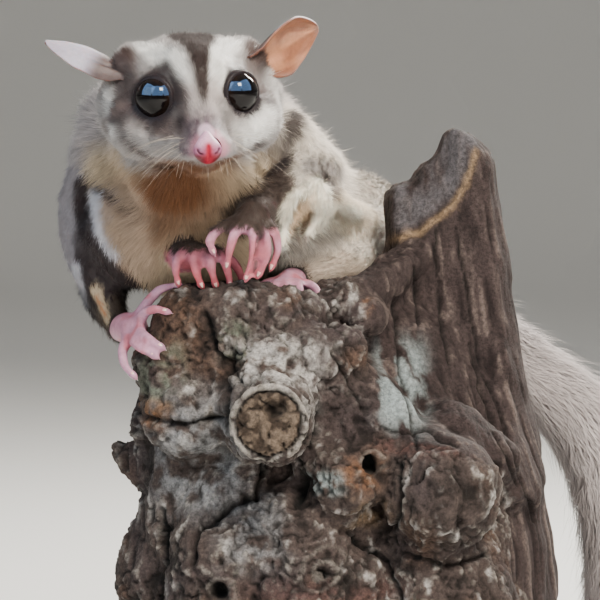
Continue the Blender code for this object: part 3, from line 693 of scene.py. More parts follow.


# Markings, with painted light and shade among them, the same for skin and coat. Head marks are in the head's
# frame, for the +X side and mirrored

tones = {
    "back": seen(150, 143, 146),
    # partly the pale fur's own colour, partly painted sunlight, since the body's left side keeps it
    "flank": seen(232, 222, 210),
    "rightSide": seen(138, 134, 140),
    "dark": seen(72, 63, 64),
    "deep": seen(50, 42, 44),
    "stripe": seen(46, 35, 33),
    "taupe": seen(96, 80, 78),
    "earBase": seen(74, 58, 54),
    "face": seen(164, 159, 158),
    "white": seen(246, 245, 243),
    "bridge": seen(190, 178, 176),
    "shade": seen(112, 98, 97),
    # a warm orange-brown, partly the throat's own colour, partly painted shade under the chin
    "shadedThroat": seen(108, 73, 50),
    "chest": seen(160, 133, 110),
    "belly": seen(212, 192, 164),
    "membrane": seen(250, 242, 224),
    "tail": seen(188, 180, 180),
    "tailTip": seen(138, 130, 132),
    "muzzle": seen(98, 80, 90),
    # the bare patch above the nose: partly its own pale lilac skin, partly painted highlight
    "paleMuzzleAndHighlight": seen(222, 190, 210),
    "muzzlePink": seen(206, 142, 162),
    "paw": seen(174, 106, 120),
    "pawRed": seen(190, 78, 82),
    "pawLilac": seen(188, 146, 172),
    "lid": seen(30, 24, 28),
    "orange": seen(190, 120, 70),
    "fawn": seen(184, 160, 140),
    "tan": seen(178, 152, 124),
    "rim": seen(206, 206, 216),
    "forearm": seen(74, 63, 59),
}
cheekLine = [(15.4, 7.5, 4), (16.4, 2.5, 0.5), (15.8, -0.2, -4.5), (14, -0.8, -9), (10.4, -0.6, -12.4)]
headMarks = [
    ([(8.4, 9.5, 9.4), (7.2, 3.5, 9.2), (4.8, -1.0, 8.2), (4.2, -5.0, 4.4)], 2.0, 1.7, tones["white"], 0.85),
    ([(17.6, 3.0, -7.0), (17.4, 7.1, -1.8), (17.4, 10, 2)], 1.4, 1.4, tones["white"], 0.5),
    ([(3.4, -7.0, 2.4), (2.0, -12.5, -0.6)], 1.8, 1.8, tones["bridge"], 0.7),
    ([(13.4, 8.8, 7.4), (14.4, 4.8, 4.4), (14.8, 1.8, 0.6)], 2.2, 1.7, tones["taupe"], 0.7),
    ([(14.2, 9.4, 7.2), (16.5, 10.8, 5.8)], 2.5, 1.5, tones["earBase"], 0.95),
    (cheekLine, 0.8, 1.2, tones["dark"], 0.85),
]
# Marks of one side only: the dark marks on the face's right side are partly its own marks, partly painted
# shade, and the whiter left cheek is painted light
sideLightAndShade = [
    ([(9.5, -5.2, -8.2), (13.2, -2.4, -7.4), (14.6, -1.2, -5.2)], 2.3, 1.7, tones["white"], 0.95),
    ([(6.5, -7.0, -6.6), (10.5, -4.0, -6.4)], 1.8, 2.2, tones["white"], 0.7),
    ([(-10.2, -3.2, -4.6), (-7.6, -6.6, -4.6), (-4.8, -11.2, -3.6)], 1.7, 1.8, tones["taupe"], 0.85),
    ([(10.2, -3.2, -5.0), (7.6, -6.6, -5.2), (5.2, -11.2, -4.4)], 1.2, 2.0, tones["shade"], 0.4),
    ([(-4.4, -3.6, 3.0), (-4.4, -7.0, 0.2), (-4.8, -9.5, -2.6)], 1.5, 1.5, tones["dark"], 0.85),
    ([(-14.8, 9.4, 5.4), (-14.6, 5.4, 1.8), (-15.6, 3.3, -0.3), (-16.6, 2.8, -2.6)],
     2.5, 1.6, tones["dark"], 0.9),
    ([(-16.8, 2.6, -2.2), (-18.0, 6.0, -6.0), (-18.4, 8.0, -7.2)], 1.3, 1.6, tones["shade"], 0.7),
]
# How far each eye's dark ring reaches, and how much farther inward. The right eye's wider ring is partly
# painted shade
eyeRings = {1: (4.9, 0.4), -1: (5.6, 1.6)}
bodyMarks = [
    ([(-13, -12, 156), (-13.5, -19.5, 150), (-16, -25, 143), (-20, -31, 138)],
     2.2, 1.8, tones["deep"], 0.92),
]
# Marks seen from the front: their lines are x and z
loop = [
    (-16.3, 124.5), (-15.2, 129), (-14.3, 133), (-12, 136.4), (-8.2, 138.6), (-6.7, 137.1), (-6.5, 134.5),
    (-7.5, 130.9), (-10.5, 127.5),
]
pocket = [(-11.2, 134), (-11, 131), (-12.6, 128.6)]
frontMarks = [
    ([(-50, 134), (-47, 124)], 4.5, 3.0, tones["fawn"], 0.75),
    ([(-55.6, 136.8), (-56, 132.5), (-54.5, 127.3), (-52, 123.9)], 1.2, 1.2, tones["rim"], 0.9),
    ([(-58.5, 138.8), (-58.3, 133.6), (-57.5, 128.3), (-55.8, 124.5), (-53.3, 121.4), (-49.9, 118.9),
      (-46.4, 115.7)], 1.4, 0.9, tones["deep"], 0.95),
    ([(-56.2, 138.9), (-53.5, 137.6), (-51.2, 135.7)], 0.5, 0.8, tones["deep"], 0.85),
    ([(-49.7, 134.4), (-48.2, 133)], 0.35, 0.7, tones["dark"], 0.6),
    ([(-60.2, 120.7), (-59.6, 112)], 0.8, 0.9, tones["rim"], 0.7),
    ([(-55.8, 115.7), (-54.5, 111.9), (-52, 107.3), (-50.3, 104.1)], 1.1, 0.6, tones["belly"], 0.95),
    ([(-55.6, 113.6), (-54.2, 110.8)], 0.35, 0.5, tones["orange"], 0.8),
    ([(-15.6, 138.4), (-20, 135.5), (-23.6, 132.4)], 3.4, 1.5, tones["forearm"], 0.92),
    ([(-8.6, 142.4), (-3.5, 141)], 1.5, 1.8, tones["rightSide"], 0.6),
    # painted shade: a dark patch in the fold between the elbow and the flank
    ([(-6, 139.6), (-4.4, 136.4)], 1.3, 1.3, tones["dark"], 0.75),
    ([(-12, 118), (-2, 121), (1, 118)], 3.0, 2.5, tones["fawn"], 0.55),
    # painted shade: a thin dark line along the fold above the left thigh
    ([(-14.3, 124.3), (-9.9, 126), (-5.9, 127.5), (-1.4, 126.6), (2, 123.5)], 0.15, 0.5, tones["deep"], 0.5),
    # painted light: a pale patch that brightens the shaded hollow below the left patagium
    ([(-6.6, 131.4), (-2, 130.2), (2, 129)], 2.6, 1.6, tones["membrane"], 0.95),
    (pocket, 2.0, 0.9, tones["tan"], 0.85),
    (loop, 0.95, 0.6, tones["membrane"], 1.0),
]
midline = -30  # between the body's two sides, as x


def coatColour(points, owner):  # at points of the outer form
    inner = inHead(points)
    world = points / mm
    x, y, z = world.T
    part = parts[owner]
    arm, leg, tail, patagium = (part == name for name in ("arm", "leg", "tail", "patagium"))
    onRight = x < midline
    spine, spineAlong, _ = lineDistance(world[:, :2], [line[:2] for line in lies["torso"]])
    front = ramp(-12, -20, y)
    breast = front * ramp(-14, -20, x) * ramp(-60, -56, x) * ramp(150, 143, z)
    hidden = onRight * ramp(-61, -59.6, x) * ramp(130, 127, z) * ramp(-4, -10, y)
    hind = ramp(-46.5, -50, x) * ramp(125.5, 122, z) * ramp(6, -4, y) * ramp(-61, -59, x)
    hind = np.maximum(hind, leg * ramp(-40, -46, x) * ramp(120, 117, z) * ramp(6, -4, y))
    thigh = leg * ramp(-22, -14, x) * ramp(2, -10, y) * ramp(-0.6, 0.5, waveNoise(world, 3.2, 22, 2))
    forearm = arm * ramp(-10, -16, x) * ramp(-16, -21, y) * ramp(-34, -30, x)
    dorsal = ramp(4.5, 1.8, spine) * ramp(140, 148, z) * ramp(0.98, 0.6, spineAlong) * ~tail
    colour = toned(
        # the base is the pale flank tone, partly painted sunlight on the body's left side
        tones, "flank",
        ("back", ramp(24, 10, spine) * ramp(132, 150, z) * 0.9),
        ("rightSide", ramp(-50, -56, x) * 0.85),
        ("belly", ramp(122, 116, z) * (part == "torso")),
        ("belly", breast),
        ("chest", bell(x + 42, 10) * bell(z - 130, 9) * front),
        # painted shade: the throat under the chin darkens to the shaded throat tone
        ("shadedThroat", bell(x + 38, 12.5) * bell(z - 138, 9.5) * front * 1.2),
        ("belly", patagium * ~onRight * 0.6),
        ("rightSide", patagium * onRight * (z > 112)),
        ("dark", patagium * hidden * 0.9),
        ("deep", hind * 0.9),
        ("shade", thigh * 0.35),
        ("deep", forearm * 0.8),
        ("dark", arm * ramp(-34, -40, x) * ramp(128, 122, z) * 0.6),
        ("stripe", dorsal * 0.85),
    )
    colour = drawMarks(colour, world, bodyMarks)
    drawn = drawMarks(colour, world[:, [0, 2]], frontMarks)
    frontal = ramp(np.where(onRight, 0, 6), np.where(onRight, -8, -2), y) * ~tail
    colour = colour + (drawn - colour) * frontal[:, None]
    tailAlong = lineDistance(world[tail], lies["tail"])[1]
    colour[tail] = toned(tones, "tail", ("tailTip", ramp(0.45, 0.98, tailAlong)))
    onHead = ramp(21, 15.5, inner[:, 1]) * ~arm * ramp(-17, -13.5, inner[:, 2])
    colour = blendTo(colour, headColour(inner), onHead)
    colour *= 1 + 0.07 * waveNoise(world, 4.5, 21, 3)[:, None]
    bare = np.isin(part, ("hand", "foot"))
    colour[bare] = pawColour(world[bare], part[bare])
    furred = bare * (1 - bareness(world, owner)) * (0.95 + 0.2 * waveNoise(world, 1.5, 28, 2))
    return np.clip(toned(tones, colour, ("forearm", furred * 1.2)), 0.004, 1)


def headColour(inner):
    x, y, z = inner.T
    # painted shade under the chin: the head's underside darkens to the shaded throat tone
    under = ramp(-10.8, -12.5, z) * ramp(-19, -10, y)
    colour = toned(tones, "face", ("shadedThroat", under * ramp(12, 5, np.abs(x))))
    colour = drawMarks(colour, np.stack([np.abs(x), y, z], axis=1), headMarks)
    # painted light and shade on one side of the face
    colour = drawMarks(colour, inner, sideLightAndShade)
    ring = np.zeros(len(x))
    for side in eyeCentres:
        across, ahead, away = aroundEye(inner, side)
        inward = ramp(2, -3, away[:, 0] * side) * ramp(-2, 2, away[:, 2])
        reach, more = eyeRings[side]
        wide = reach + more * inward + 0.5 * ramp(2, -3, away[:, 2])
        ring = np.maximum(ring, ramp(wide + 1.7, wide, across) * ramp(-5, -3, ahead))
    half = np.interp(y, [-9, -5, -2, 6, 14], [0.8, 1.6, 2.5, 3.9, 5.4])
    middle = np.interp(y, [-8, 14], [0.5, 0.9])
    stripe = ramp(half + 0.6, half - 0.7, np.abs(x - middle)) * ramp(-11.5, -7, y) * (z > -3.5)
    nose = np.linalg.norm(inner - noseTip, axis=1)
    fuzz = (0.85 + 0.4 * waveNoise(inner, 1.1, 27, 2)) * (1 - 0.7 * ramp(1.5, 4.5, x))
    fuzz *= ramp(13.0, 7.5, nose) * ramp(-10.5, -8.5, z)
    above = np.linalg.norm((inner - bareMuzzle) / (1.25, 2.2, 1.5), axis=1)
    return toned(
        tones, colour,
        ("deep", ring * 0.95),
        ("stripe", stripe * 0.97),
        ("muzzle", fuzz * 0.9),
        ("muzzlePink", ramp(6.0, 3.4, nose) * 0.75),
        # partly painted highlight: the bare patch above the nose is painted pale
        ("paleMuzzleAndHighlight", ramp(1.9, 1.0, above)),
    )


# Hands are bare below a plane, and feet before one: the plane's axis and its place
furLines = {
    "hand_left": (2, 129.6), "hand_right": (2, 124.6), "foot_right": (1, -24.5), "foot_left": (1, -11.5),
}


def bareness(world, owner):
    bare = np.zeros(len(world))
    for name, (axis, place) in furLines.items():
        mine = owner == fleshNodes.index(name)
        edge = world[mine, axis] + 0.9 * waveNoise(world[mine], 1.6, 29, 2)
        bare[mine] = ramp(place + 1, place - 1, edge)
    return bare


def pawColour(world, part):
    foot = part == "foot"
    low = np.where(world[:, 0] > -28.5, 121.8, 119.5)
    fingers = (part == "hand") * ramp(4.5, -1.5, world[:, 2] - low)
    onDigit = world[:, 1] < skinShape["creaseFront"]
    # painted shade: the creases between digits are darkened on the digits' fronts
    creaseShadeDistances = [lineDistance(world[:, [0, 2]], line)[0] for line in creases]
    colour = toned(
        tones, "paw",
        ("pawLilac", ramp(-0.5, 0.4, waveNoise(world, 5, 24)) * 0.6),
        ("pawLilac", foot * 0.5),
        ("pawRed", fingers * 0.6),
        *(("dark", bell(away, 0.42) * onDigit * 0.85) for away in creaseShadeDistances),
        ("pawRed", foot * ramp(0.1, 0.7, waveNoise(world, 3.4, 26, 2)) * 0.5),
    )
    return colour * (0.92 + 0.13 * waveNoise(world, 1.3, 25, 3)[:, None])


def dressSkin(skin, fields):
    unwrap(skin)
    colours = coatColour(fields["home"], fields["owner"])
    colours *= np.where(fields["bare"] > 0, 1.0, 0.8)[:, None]
    inner = inHead(pointsOf(skin.data))
    for side in eyeCentres:
        across, ahead, _ = aroundEye(inner, side)
        colours = toned(tones, colours, ("lid", ramp(5.4, 4.7, across) * (ahead > 0)))
    paint(skin.data, "coat", colours)
    skin.data.materials.append(skinMaterial())
    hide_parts(*fleshNodes)
    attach(skin, "root")


def editing(obj, change):  # one change to the whole mesh in edit mode
    selectOnly(obj)
    bpy.ops.object.mode_set(mode="EDIT")
    bpy.ops.mesh.select_all(action="SELECT")
    change()
    bpy.ops.object.mode_set(mode="OBJECT")
    obj.select_set(False)


def unwrap(obj):
    editing(obj, lambda: bpy.ops.uv.smart_project(angle_limit=math.radians(66), island_margin=0.001))
    obj.data.uv_layers[0].name = "OFBake"


# The coat


def hairless(points):  # 1 on the lids' rims, over the eyeballs and on the bare end of the muzzle
    inner = inHead(points)
    bald = ramp(3.3, 2.5, np.linalg.norm(inner - noseTip, axis=1))
    bald = np.maximum(bald, ramp(2.0, 1.4, np.linalg.norm((inner - bareMuzzle) / (1.2, 1.9, 1.4), axis=1)))
    for side in eyeCentres:
        across, ahead, _ = aroundEye(inner, side)
        bald = np.maximum(bald, (ahead > 0) * (across < eye["opening"] + 0.5))
    return bald


# Roots of tufts strewn over a skin, with the fields read at each
def scatterRoots(skin, fields, generator):
    mesh = skin.data
    corners, loops = trianglesOf(mesh)
    points = pointsOf(mesh)
    a, b, c = (points[corners[:, index]] for index in range(3))
    area = np.linalg.norm(np.cross(b - a, c - a), axis=1) / 2 / mm**2
    density = fields["density"][corners].mean(axis=1) * (fields["bare"][corners].max(axis=1) < 0.5)
    wanted = area * density * (1 - hairless(points[corners].mean(axis=1)))
    count = np.floor(wanted + generator.random(len(wanted))).astype(int)
    triangle = np.repeat(np.arange(len(corners)), count)
    shares = np.sqrt(generator.random(len(triangle)))
    other = generator.random(len(triangle))
    weights = np.stack([1 - shares, shares * (1 - other), shares * other], axis=1)

    def read(values):
        picked = values[corners[triangle]]
        if values.ndim == 1:
            return np.sum(picked * weights, axis=1)
        return np.sum(picked * weights[:, :, None], axis=1)

    uvs = readAll(mesh.uv_layers["OFBake"].uv, "vector", 2)
    roots = {key: read(fields[key]) for key in ("home", "flow", "length", "width", "lift")}
    roots["owner"] = fields["owner"][corners[triangle, 0]]
    roots["point"] = read(points)
    roots["normal"] = unit(read(normalsOf(mesh)))
    roots["uv"] = np.sum(uvs[loops[triangle]] * weights[:, :, None], axis=1)
    roots["colour"] = coatColour(roots["home"], roots["owner"])
    return roots


# Lengths, widths and lifts vary by a share from low to high. A bent tuft has its middle ring at middle
tuft = {
    "lengths": (0.72, 1.1), "widths": (0.8, 1.2), "lifts": (0.7, 1.35), "swing": 0.15, "sunk": 0.25,
    "middle": 0.45, "slim": 0.36, "rise": 1.5, "droop": 0.35, "reach": 0.10,
    "clump": 0.22, "clumpSize": 1.1, "tousle": 0.42, "fan": 0.45, "tipFan": 0.25,
    "tones": (0.62, 0.95, 1.12), "spread": 0.08, "streak": 0.13, "patch": 0.003,
}
straight = {"faces": [(0, 2, 1), (0, 1, 3), (1, 2, 3), (2, 0, 3)], "along": (0, 0, 0, 1)}
bent = {
    "faces": [
        (0, 2, 1), (0, 1, 4), (0, 4, 3), (1, 2, 5), (1, 5, 4),
        (2, 0, 3), (2, 3, 5), (3, 4, 6), (4, 5, 6), (5, 3, 6),
    ],
    "along": (0, 0, 0, *(tuft["middle"],) * 3, 1),
}


# The chosen roots' tufts as one mesh of closed, tapered spikes of three sides
def growTufts(name, roots, chosen, bends, generator, material):
    root = {key: values[chosen] for key, values in roots.items()}
    count = len(chosen)
    normal = root["normal"]
    way = unit(root["flow"] - normal * dots(root["flow"], normal)[:, None])
    side = np.cross(normal, way)
    way = unit(way + side * generator.normal(0, tuft["swing"], count)[:, None])
    side = np.cross(normal, way)
    guard = generator.random(count) < guardHairs["share"]
    sizes = []
    for key in ("length", "width", "lift"):
        vary = generator.uniform(*tuft[key + "s"], count) * np.where(guard, guardHairs[key], 1)
        sizes.append((root[key] * vary)[:, None])
    length, width, lift = sizes[0] * mm, sizes[1] * mm, np.radians(sizes[2])
    home = root["home"] / mm
    clump = np.stack([waveNoise(home, tuft["clumpSize"], seed, 2) for seed in (31, 32, 33)], axis=1)
    start = root["point"] - normal * tuft["sunk"] * mm
    tip = start + (way * np.cos(lift) + normal * np.sin(lift)) * length + clump * length * tuft["clump"]
    ring = [start - side * width / 2, start + side * width / 2, start + normal * width * 0.5]
    leans = [-side, side, normal]
    if bends:
        steep = lift * tuft["rise"]
        middle = start + (way * np.cos(steep) + normal * np.sin(steep)) * length * tuft["middle"]
        tip = tip + (way - normal * tuft["droop"]) * length * tuft["reach"]
        slim = width * tuft["slim"]
        ring += [middle - side * slim, middle + side * slim, middle + normal * slim * 0.8]
        leans += leans
    shape = bent if bends else straight
    along = np.array(shape["along"])
    corners = np.stack([*ring, tip], axis=1)
    faces = np.array(shape["faces"])[None] + (np.arange(count) * len(along))[:, None, None]
    obj = meshFromArrays(name, corners.reshape(-1, 3), faces.reshape(-1, 3), material)
    streak = 1 + tuft["streak"] * waveNoise(home, tuft["clumpSize"] * 0.8, 34, 2)
    streak = streak * generator.uniform(1 - tuft["spread"], 1 + tuft["spread"], count)
    base = root["colour"] * streak[:, None]
    shades = np.interp(along, [0, tuft["middle"], 1], tuft["tones"])
    colours = np.clip(base[:, None, :] * shades[None, :, None], 0.003, 1)
    paint(obj.data, "coat", colours.reshape(-1, 3))
    combed = normal + tuft["tousle"] * clump
    shading = [combed + tuft["fan"] * lean for lean in leans] + [combed + tuft["tipFan"] * way]
    shading = unit(np.stack(shading, axis=1))
    obj.data.shade_smooth()
    obj.data.normals_split_custom_set_from_vertices(shading.reshape(-1, 3))
    layTuftUvs(obj.data, root["uv"], faces, along)
    return obj


def layTuftUvs(mesh, uv, faces, along):  # each tuft is a small patch at its root's place on the unwrap
    corner = faces.reshape(-1)
    number = corner % len(along)
    across = np.where(number % 3 == 0, -0.5, np.where(number % 3 == 1, 0.5, 0.0))
    place = uv[corner // len(along)] + np.stack([across, along[number] - 0.5], axis=1) * tuft["patch"]
    layer = mesh.uv_layers.new(name="OFBake")
    layer.uv.foreach_set("vector", np.clip(place, 0, 1).astype(np.float32).ravel())


coatPieces = {
    "coat_head": (("head",), "face_fur"),
    "coat_neck": (("neck",), "body_fur"),
    "coat_body": (("torso",), "body_fur"),
    "coat_arms": (("arm", "hand"), "body_fur"),
    "coat_legs": (("leg", "foot"), "body_fur"),
    "coat_membrane": (("patagium",), "membrane_fur"),
    "coat_tail": (("tail",), "tail_fur"),
}
mostTriangles = 190000


def buildCoat(skin, fields, material):
    generator = np.random.default_rng(5)
    roots = scatterRoots(skin, fields, generator)
    part = parts[roots["owner"]]
    total = 0
    for name, (keys, slot) in coatPieces.items():
        bends = coats[keys[0]]["bends"]
        chosen = np.flatnonzero(np.isin(part, keys))
        most = mostTriangles // (10 if bends else 4)
        for number, batch in enumerate(np.array_split(chosen, max(1, math.ceil(len(chosen) / most)))):
            tufts = growTufts(f"{name}_{number + 1}", roots, batch, bends, generator, material)
            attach(tufts, "root")
            total += len(tufts.data.polygons)
            print(tufts.name, len(tufts.data.polygons))
    print("coat:", len(part), "tufts,", total, "triangles")


# Eyes: nearly black, with a dark brown iris at the rim, under a clear wet surface

iris = {"pupil": seen(9, 7, 8), "brown": seen(20, 13, 10), "fleck": seen(34, 22, 16), "rim": 55, "wide": 8}


def buildEyes():
    material, tree, shader = newMaterial("eye_gloss", 0.03, **{"IOR": 1.33})
    painted(tree, shader, "eye")
    balls = []
    for name, side in sideOf.items():
        ball = settlePlace(addBall(centreOf("eye_" + name), eye["radius"], 128, 64))
        ball.name = "eyeball_" + name
        inner = inHead(pointsOf(ball.data))
        across, ahead, away = aroundEye(inner, side)
        turned = np.degrees(np.arctan2(across, ahead))
        fromRim = turned - iris["rim"]
        rays = ramp(0.1, 0.8, waveNoise(unit(away) * 3 + 5, 0.35, 71, 2))
        colours = toned(
            iris, "pupil",
            ("brown", bell(fromRim, iris["wide"])),
            ("fleck", rays * bell(fromRim, iris["wide"] * 0.7) * 0.6),
        )
        paint(ball.data, "eye", colours)
        ball.data.materials.append(material)
        ball.data.shade_smooth()
        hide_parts("eye_" + name)
        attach(ball, "root")
        balls.append(ball)
    return balls


# Nose

nosePad = {
    "size": (3.0, 2.35, 3.3), "place": (-0.85, -0.1, 0.3),
    "rose": seen(92, 22, 32), "red": seen(150, 22, 46), "side": seen(150, 96, 124),
    # pale is the top's lilac skin, partly painted highlight
    "pale": seen(206, 160, 186), "dark": seen(54, 16, 26), "glintedLobe": seen(128, 56, 68),
}
nostril = [(1.35, -0.85), (1.75, -0.75), (2.1, -0.4), (2.15, -0.05)]


def buildNose():
    bpy.ops.mesh.primitive_uv_sphere_add(segments=96, ring_count=64, radius=1)
    pad = bpy.context.object
    pad.name = "nose_pad"
    sphere = pointsOf(pad.data)
    x, y, z = sphere.T
    shape = sphere * nosePad["size"]
    shape[:, 0] *= 1 - 0.5 * ramp(-0.25, 1.0, z) - 0.06 * ramp(-0.4, -1, z)
    shape[:, 1] += 0.9 * ramp(0.2, 1.0, z)
    front = ramp(0.1, -0.5, y)
    groove = bell(shape[:, 0], 0.25) * front * ramp(0.5, 0.0, z)
    slit = np.full(len(x), 9.0)
    lobes = np.zeros(len(x))
    for side in (1, -1):
        curve = [(side * across, up) for across, up in nostril]
        slit = np.minimum(slit, lineDistance(shape[:, [0, 2]], curve)[0])
        lobes = np.maximum(lobes, bell(np.hypot(shape[:, 0] - side * 1.5, shape[:, 2] + 1.5), 0.7) * front)
    hole = bell(slit, 0.2) * front
    shape[:, 1] += 0.3 * groove + 0.5 * hole - 0.28 * lobes
    putPoints(pad.data, fromHead(shape + noseTip + nosePad["place"]))
    stripe = bell(shape[:, 0] / 1.05, 0.85)
    colours = toned(
        nosePad, "rose",
        ("side", ramp(-0.5, -0.1, z)),
        # partly the top's own lilac skin, partly painted highlight: the pad's top is paler
        ("pale", ramp(-0.05, 0.45, z)),
        ("red", stripe * ramp(0.65, 0.25, z)),
        # partly painted glints: the nose's lobes are lighter
        ("glintedLobe", lobes * 0.6),
        ("dark", hole * 0.85),
    )
    paint(pad.data, "pad", colours)
    made, tree, shader = newMaterial(
        "nose_skin", 0.36,
        **{"Subsurface Weight": 0.1, "Subsurface Scale": 0.6 * mm, "Specular IOR Level": 0.14},
    )
    mottled(tree, shader, "pad", noiseNode(tree, 0.5), 0.86, 1.1)
    addBump(tree, shader, noiseNode(tree, 0.25, 3), 0.5, 0.07)
    pad.data.materials.append(made)
    pad.data.shade_smooth()
    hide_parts("nose")
    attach(pad, "root")


# Whiskers in rows at each side of the muzzle, and short ones under the chin

whisker = {
    "rows": 3, "columns": 4, "chin": 12, "root": 0.032, "end": 0.01, "rings": 10, "sides": 5,
    "length": (6, 10), "chinLength": (2.5, 4.5), "tone": seen(204, 188, 172), "chinShade": 0.9,
}


def buildWhiskers():
    generator = np.random.default_rng(8)
    steps = np.linspace(0, 1, whisker["rings"])[:, None]
    lines, shades = [], []
    for side, row, place in itertools.product((1, -1), range(whisker["rows"]), range(whisker["columns"])):
        start = np.array((side * (3.6 + 0.9 * place), -14.6 + 1.8 * place, -6.0 - 1.3 * row))
        out = unit(np.array((side * (0.75 + 0.12 * place), -0.15 + 0.16 * place, -0.1 - 0.22 * row)))
        out = unit(out + generator.normal(0, 0.12, 3))
        length = generator.uniform(*whisker["length"]) + 1.2 * place
        droop = np.array((0, 0.12, -0.3)) * generator.uniform(0.4, 1.2)
        lines.append(fromHead(start + (out * steps + droop * steps**2) * length))
        shades.append(generator.uniform(0.45, 0.95))
    bow = np.array((0, 0.25, 0))
    for _ in range(whisker["chin"]):
        start = np.array((generator.uniform(-6.5, 6.5), generator.uniform(-12, -8), -11.4))
        out = unit(np.array((start[0] * 0.06, -0.3, -1)) + generator.normal(0, 0.1, 3))
        length = generator.uniform(*whisker["chinLength"])
        lines.append(fromHead(start + (out * steps + bow * steps**2) * length))
        shades.append(whisker["chinShade"])
    radii = [np.linspace(whisker["root"], whisker["end"], whisker["rings"]) * mm] * len(lines)
    made, tree, shader = newMaterial("whisker", 0.35)
    painted(tree, shader, "hair")
    whiskers = tubes("whiskers", lines, radii, whisker["sides"], made)
    shades = np.repeat(shades, whisker["rings"] * whisker["sides"])
    paint(whiskers.data, "hair", whisker["tone"] * shades[:, None])
    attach(whiskers, "root")


# Claws, each on a digit's last joint and tip
digits = {
    "hand_left": [
        ((-31.0, -42.8, 126.6), (-30.0, -42.2, 124.6)), ((-26.5, -44.8, 125.0), (-27.0, -43.5, 122.0)),
        ((-21.5, -46.0, 123.6), (-23.0, -44.2, 119.3)), ((-18.6, -45.2, 123.8), (-20.4, -43.6, 120.0)),
        ((-16.4, -42.4, 125.0), (-17.8, -41.4, 121.4)),
    ],
    "hand_right": [
        ((-37.9, -36.6, 120.0), (-37.4, -35.8, 117.8)), ((-33.6, -37.8, 119.8), (-32.6, -37.0, 117.4)),
        ((-30.2, -37.8, 119.8), (-29.6, -37.0, 117.4)), ((-27.0, -36.4, 120.0), (-26.6, -35.6, 117.6)),
        ((-24.6, -32.4, 120.0), (-24.0, -32.0, 117.8)),
    ],
    "foot_right": [
        ((-41.2, -33.0, 116.4), (-37.6, -33.0, 117.0)), ((-42.0, -39.4, 112.6), (-39.8, -40.0, 112.0)),
        ((-43.0, -40.6, 106.2), (-40.8, -41.4, 104.8)), ((-44.6, -40.2, 104.0), (-42.2, -41.0, 102.8)),
        ((-48.6, -37.8, 100.6), (-46.6, -38.8, 98.6)),
    ],
    "foot_left": [
        ((-20.4, -18.6, 116.2), (-21.6, -20.4, 114.8)), ((-18.0, -24.0, 115.8), (-18.6, -26.0, 114.2)),
        ((-15.2, -25.2, 115.8), (-15.4, -27.2, 114.0)), ((-12.0, -24.6, 115.8), (-11.8, -26.6, 114.0)),
        ((-8.6, -21.6, 115.8), (-7.8, -23.4, 114.2)),
    ],
}
claw = {
    "length": 2.0, "radius": 0.42, "back": 0.6, "rise": 0.45, "rings": 9, "sides": 10,
    "quick": seen(220, 160, 158), "horn": seen(240, 228, 214),
}


def buildClaws():
    made, tree, shader = newMaterial(
        "claw_horn", 0.28, **{"Subsurface Weight": 0.25, "Subsurface Scale": 0.5 * mm}
    )
    painted(tree, shader, "horn")
    steps = np.linspace(0, 1, claw["rings"])
    arch = claw["rise"] * (2.4 * steps * (1 - steps) + 0.9 * (1 - steps)) - 0.35 * steps
    for paw, ends in digits.items():
        lines = []
        for joint, tip in np.array(ends):
            way = unit(tip - joint)
            up = np.array((0, -1, 0.5))
            up = unit(up - way * dots(way, up))
            line = tip + way * (steps * claw["length"] - claw["back"])[:, None] + up * arch[:, None]
            lines.append(line * mm)
        radii = [claw["radius"] * (1 - steps**1.6 * 0.93) * mm] * len(lines)
        claws = tubes("claws_" + paw, lines, radii, claw["sides"], made)
        share = np.tile(np.repeat(steps, claw["sides"]), len(lines))
        paint(claws.data, "horn", toned(claw, "quick", ("horn", ramp(0, 0.4, share))))
        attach(claws, "root")


# Ears: leaf-shaped cups, with folds inside and a root that reaches into the head

ears = {
    "width": 12.5, "thickness": 0.5, "curl": 78, "start": -0.16,
    # Each side's dark: the shares of the ear's length over which painted shade in the cup grows towards the
    # root
    "left": {
        "root": (13.6, 10.6, 5.2), "tip": (27.8, 21.2, 9.0), "opens": (0.30, -0.92, -0.20),
        "wide": 1.06, "long": 19, "dark": (0.35, -0.05),
    },
    "right": {
        "root": (-14.8, 11.2, 5.4), "tip": (-28.3, 19.5, 9.8), "opens": (-0.20, 0.20, -0.96),
        "wide": 0.86, "long": 17, "dark": (0.55, 0.25),
    },
}
earTones = {
    "inside": seen(136, 88, 64), "deep": seen(80, 44, 34), "ridge": seen(186, 132, 106),
    "edge": seen(122, 92, 84), "back": seen(176, 170, 186), "base": seen(84, 70, 70),
    "pale": seen(200, 146, 112),
}


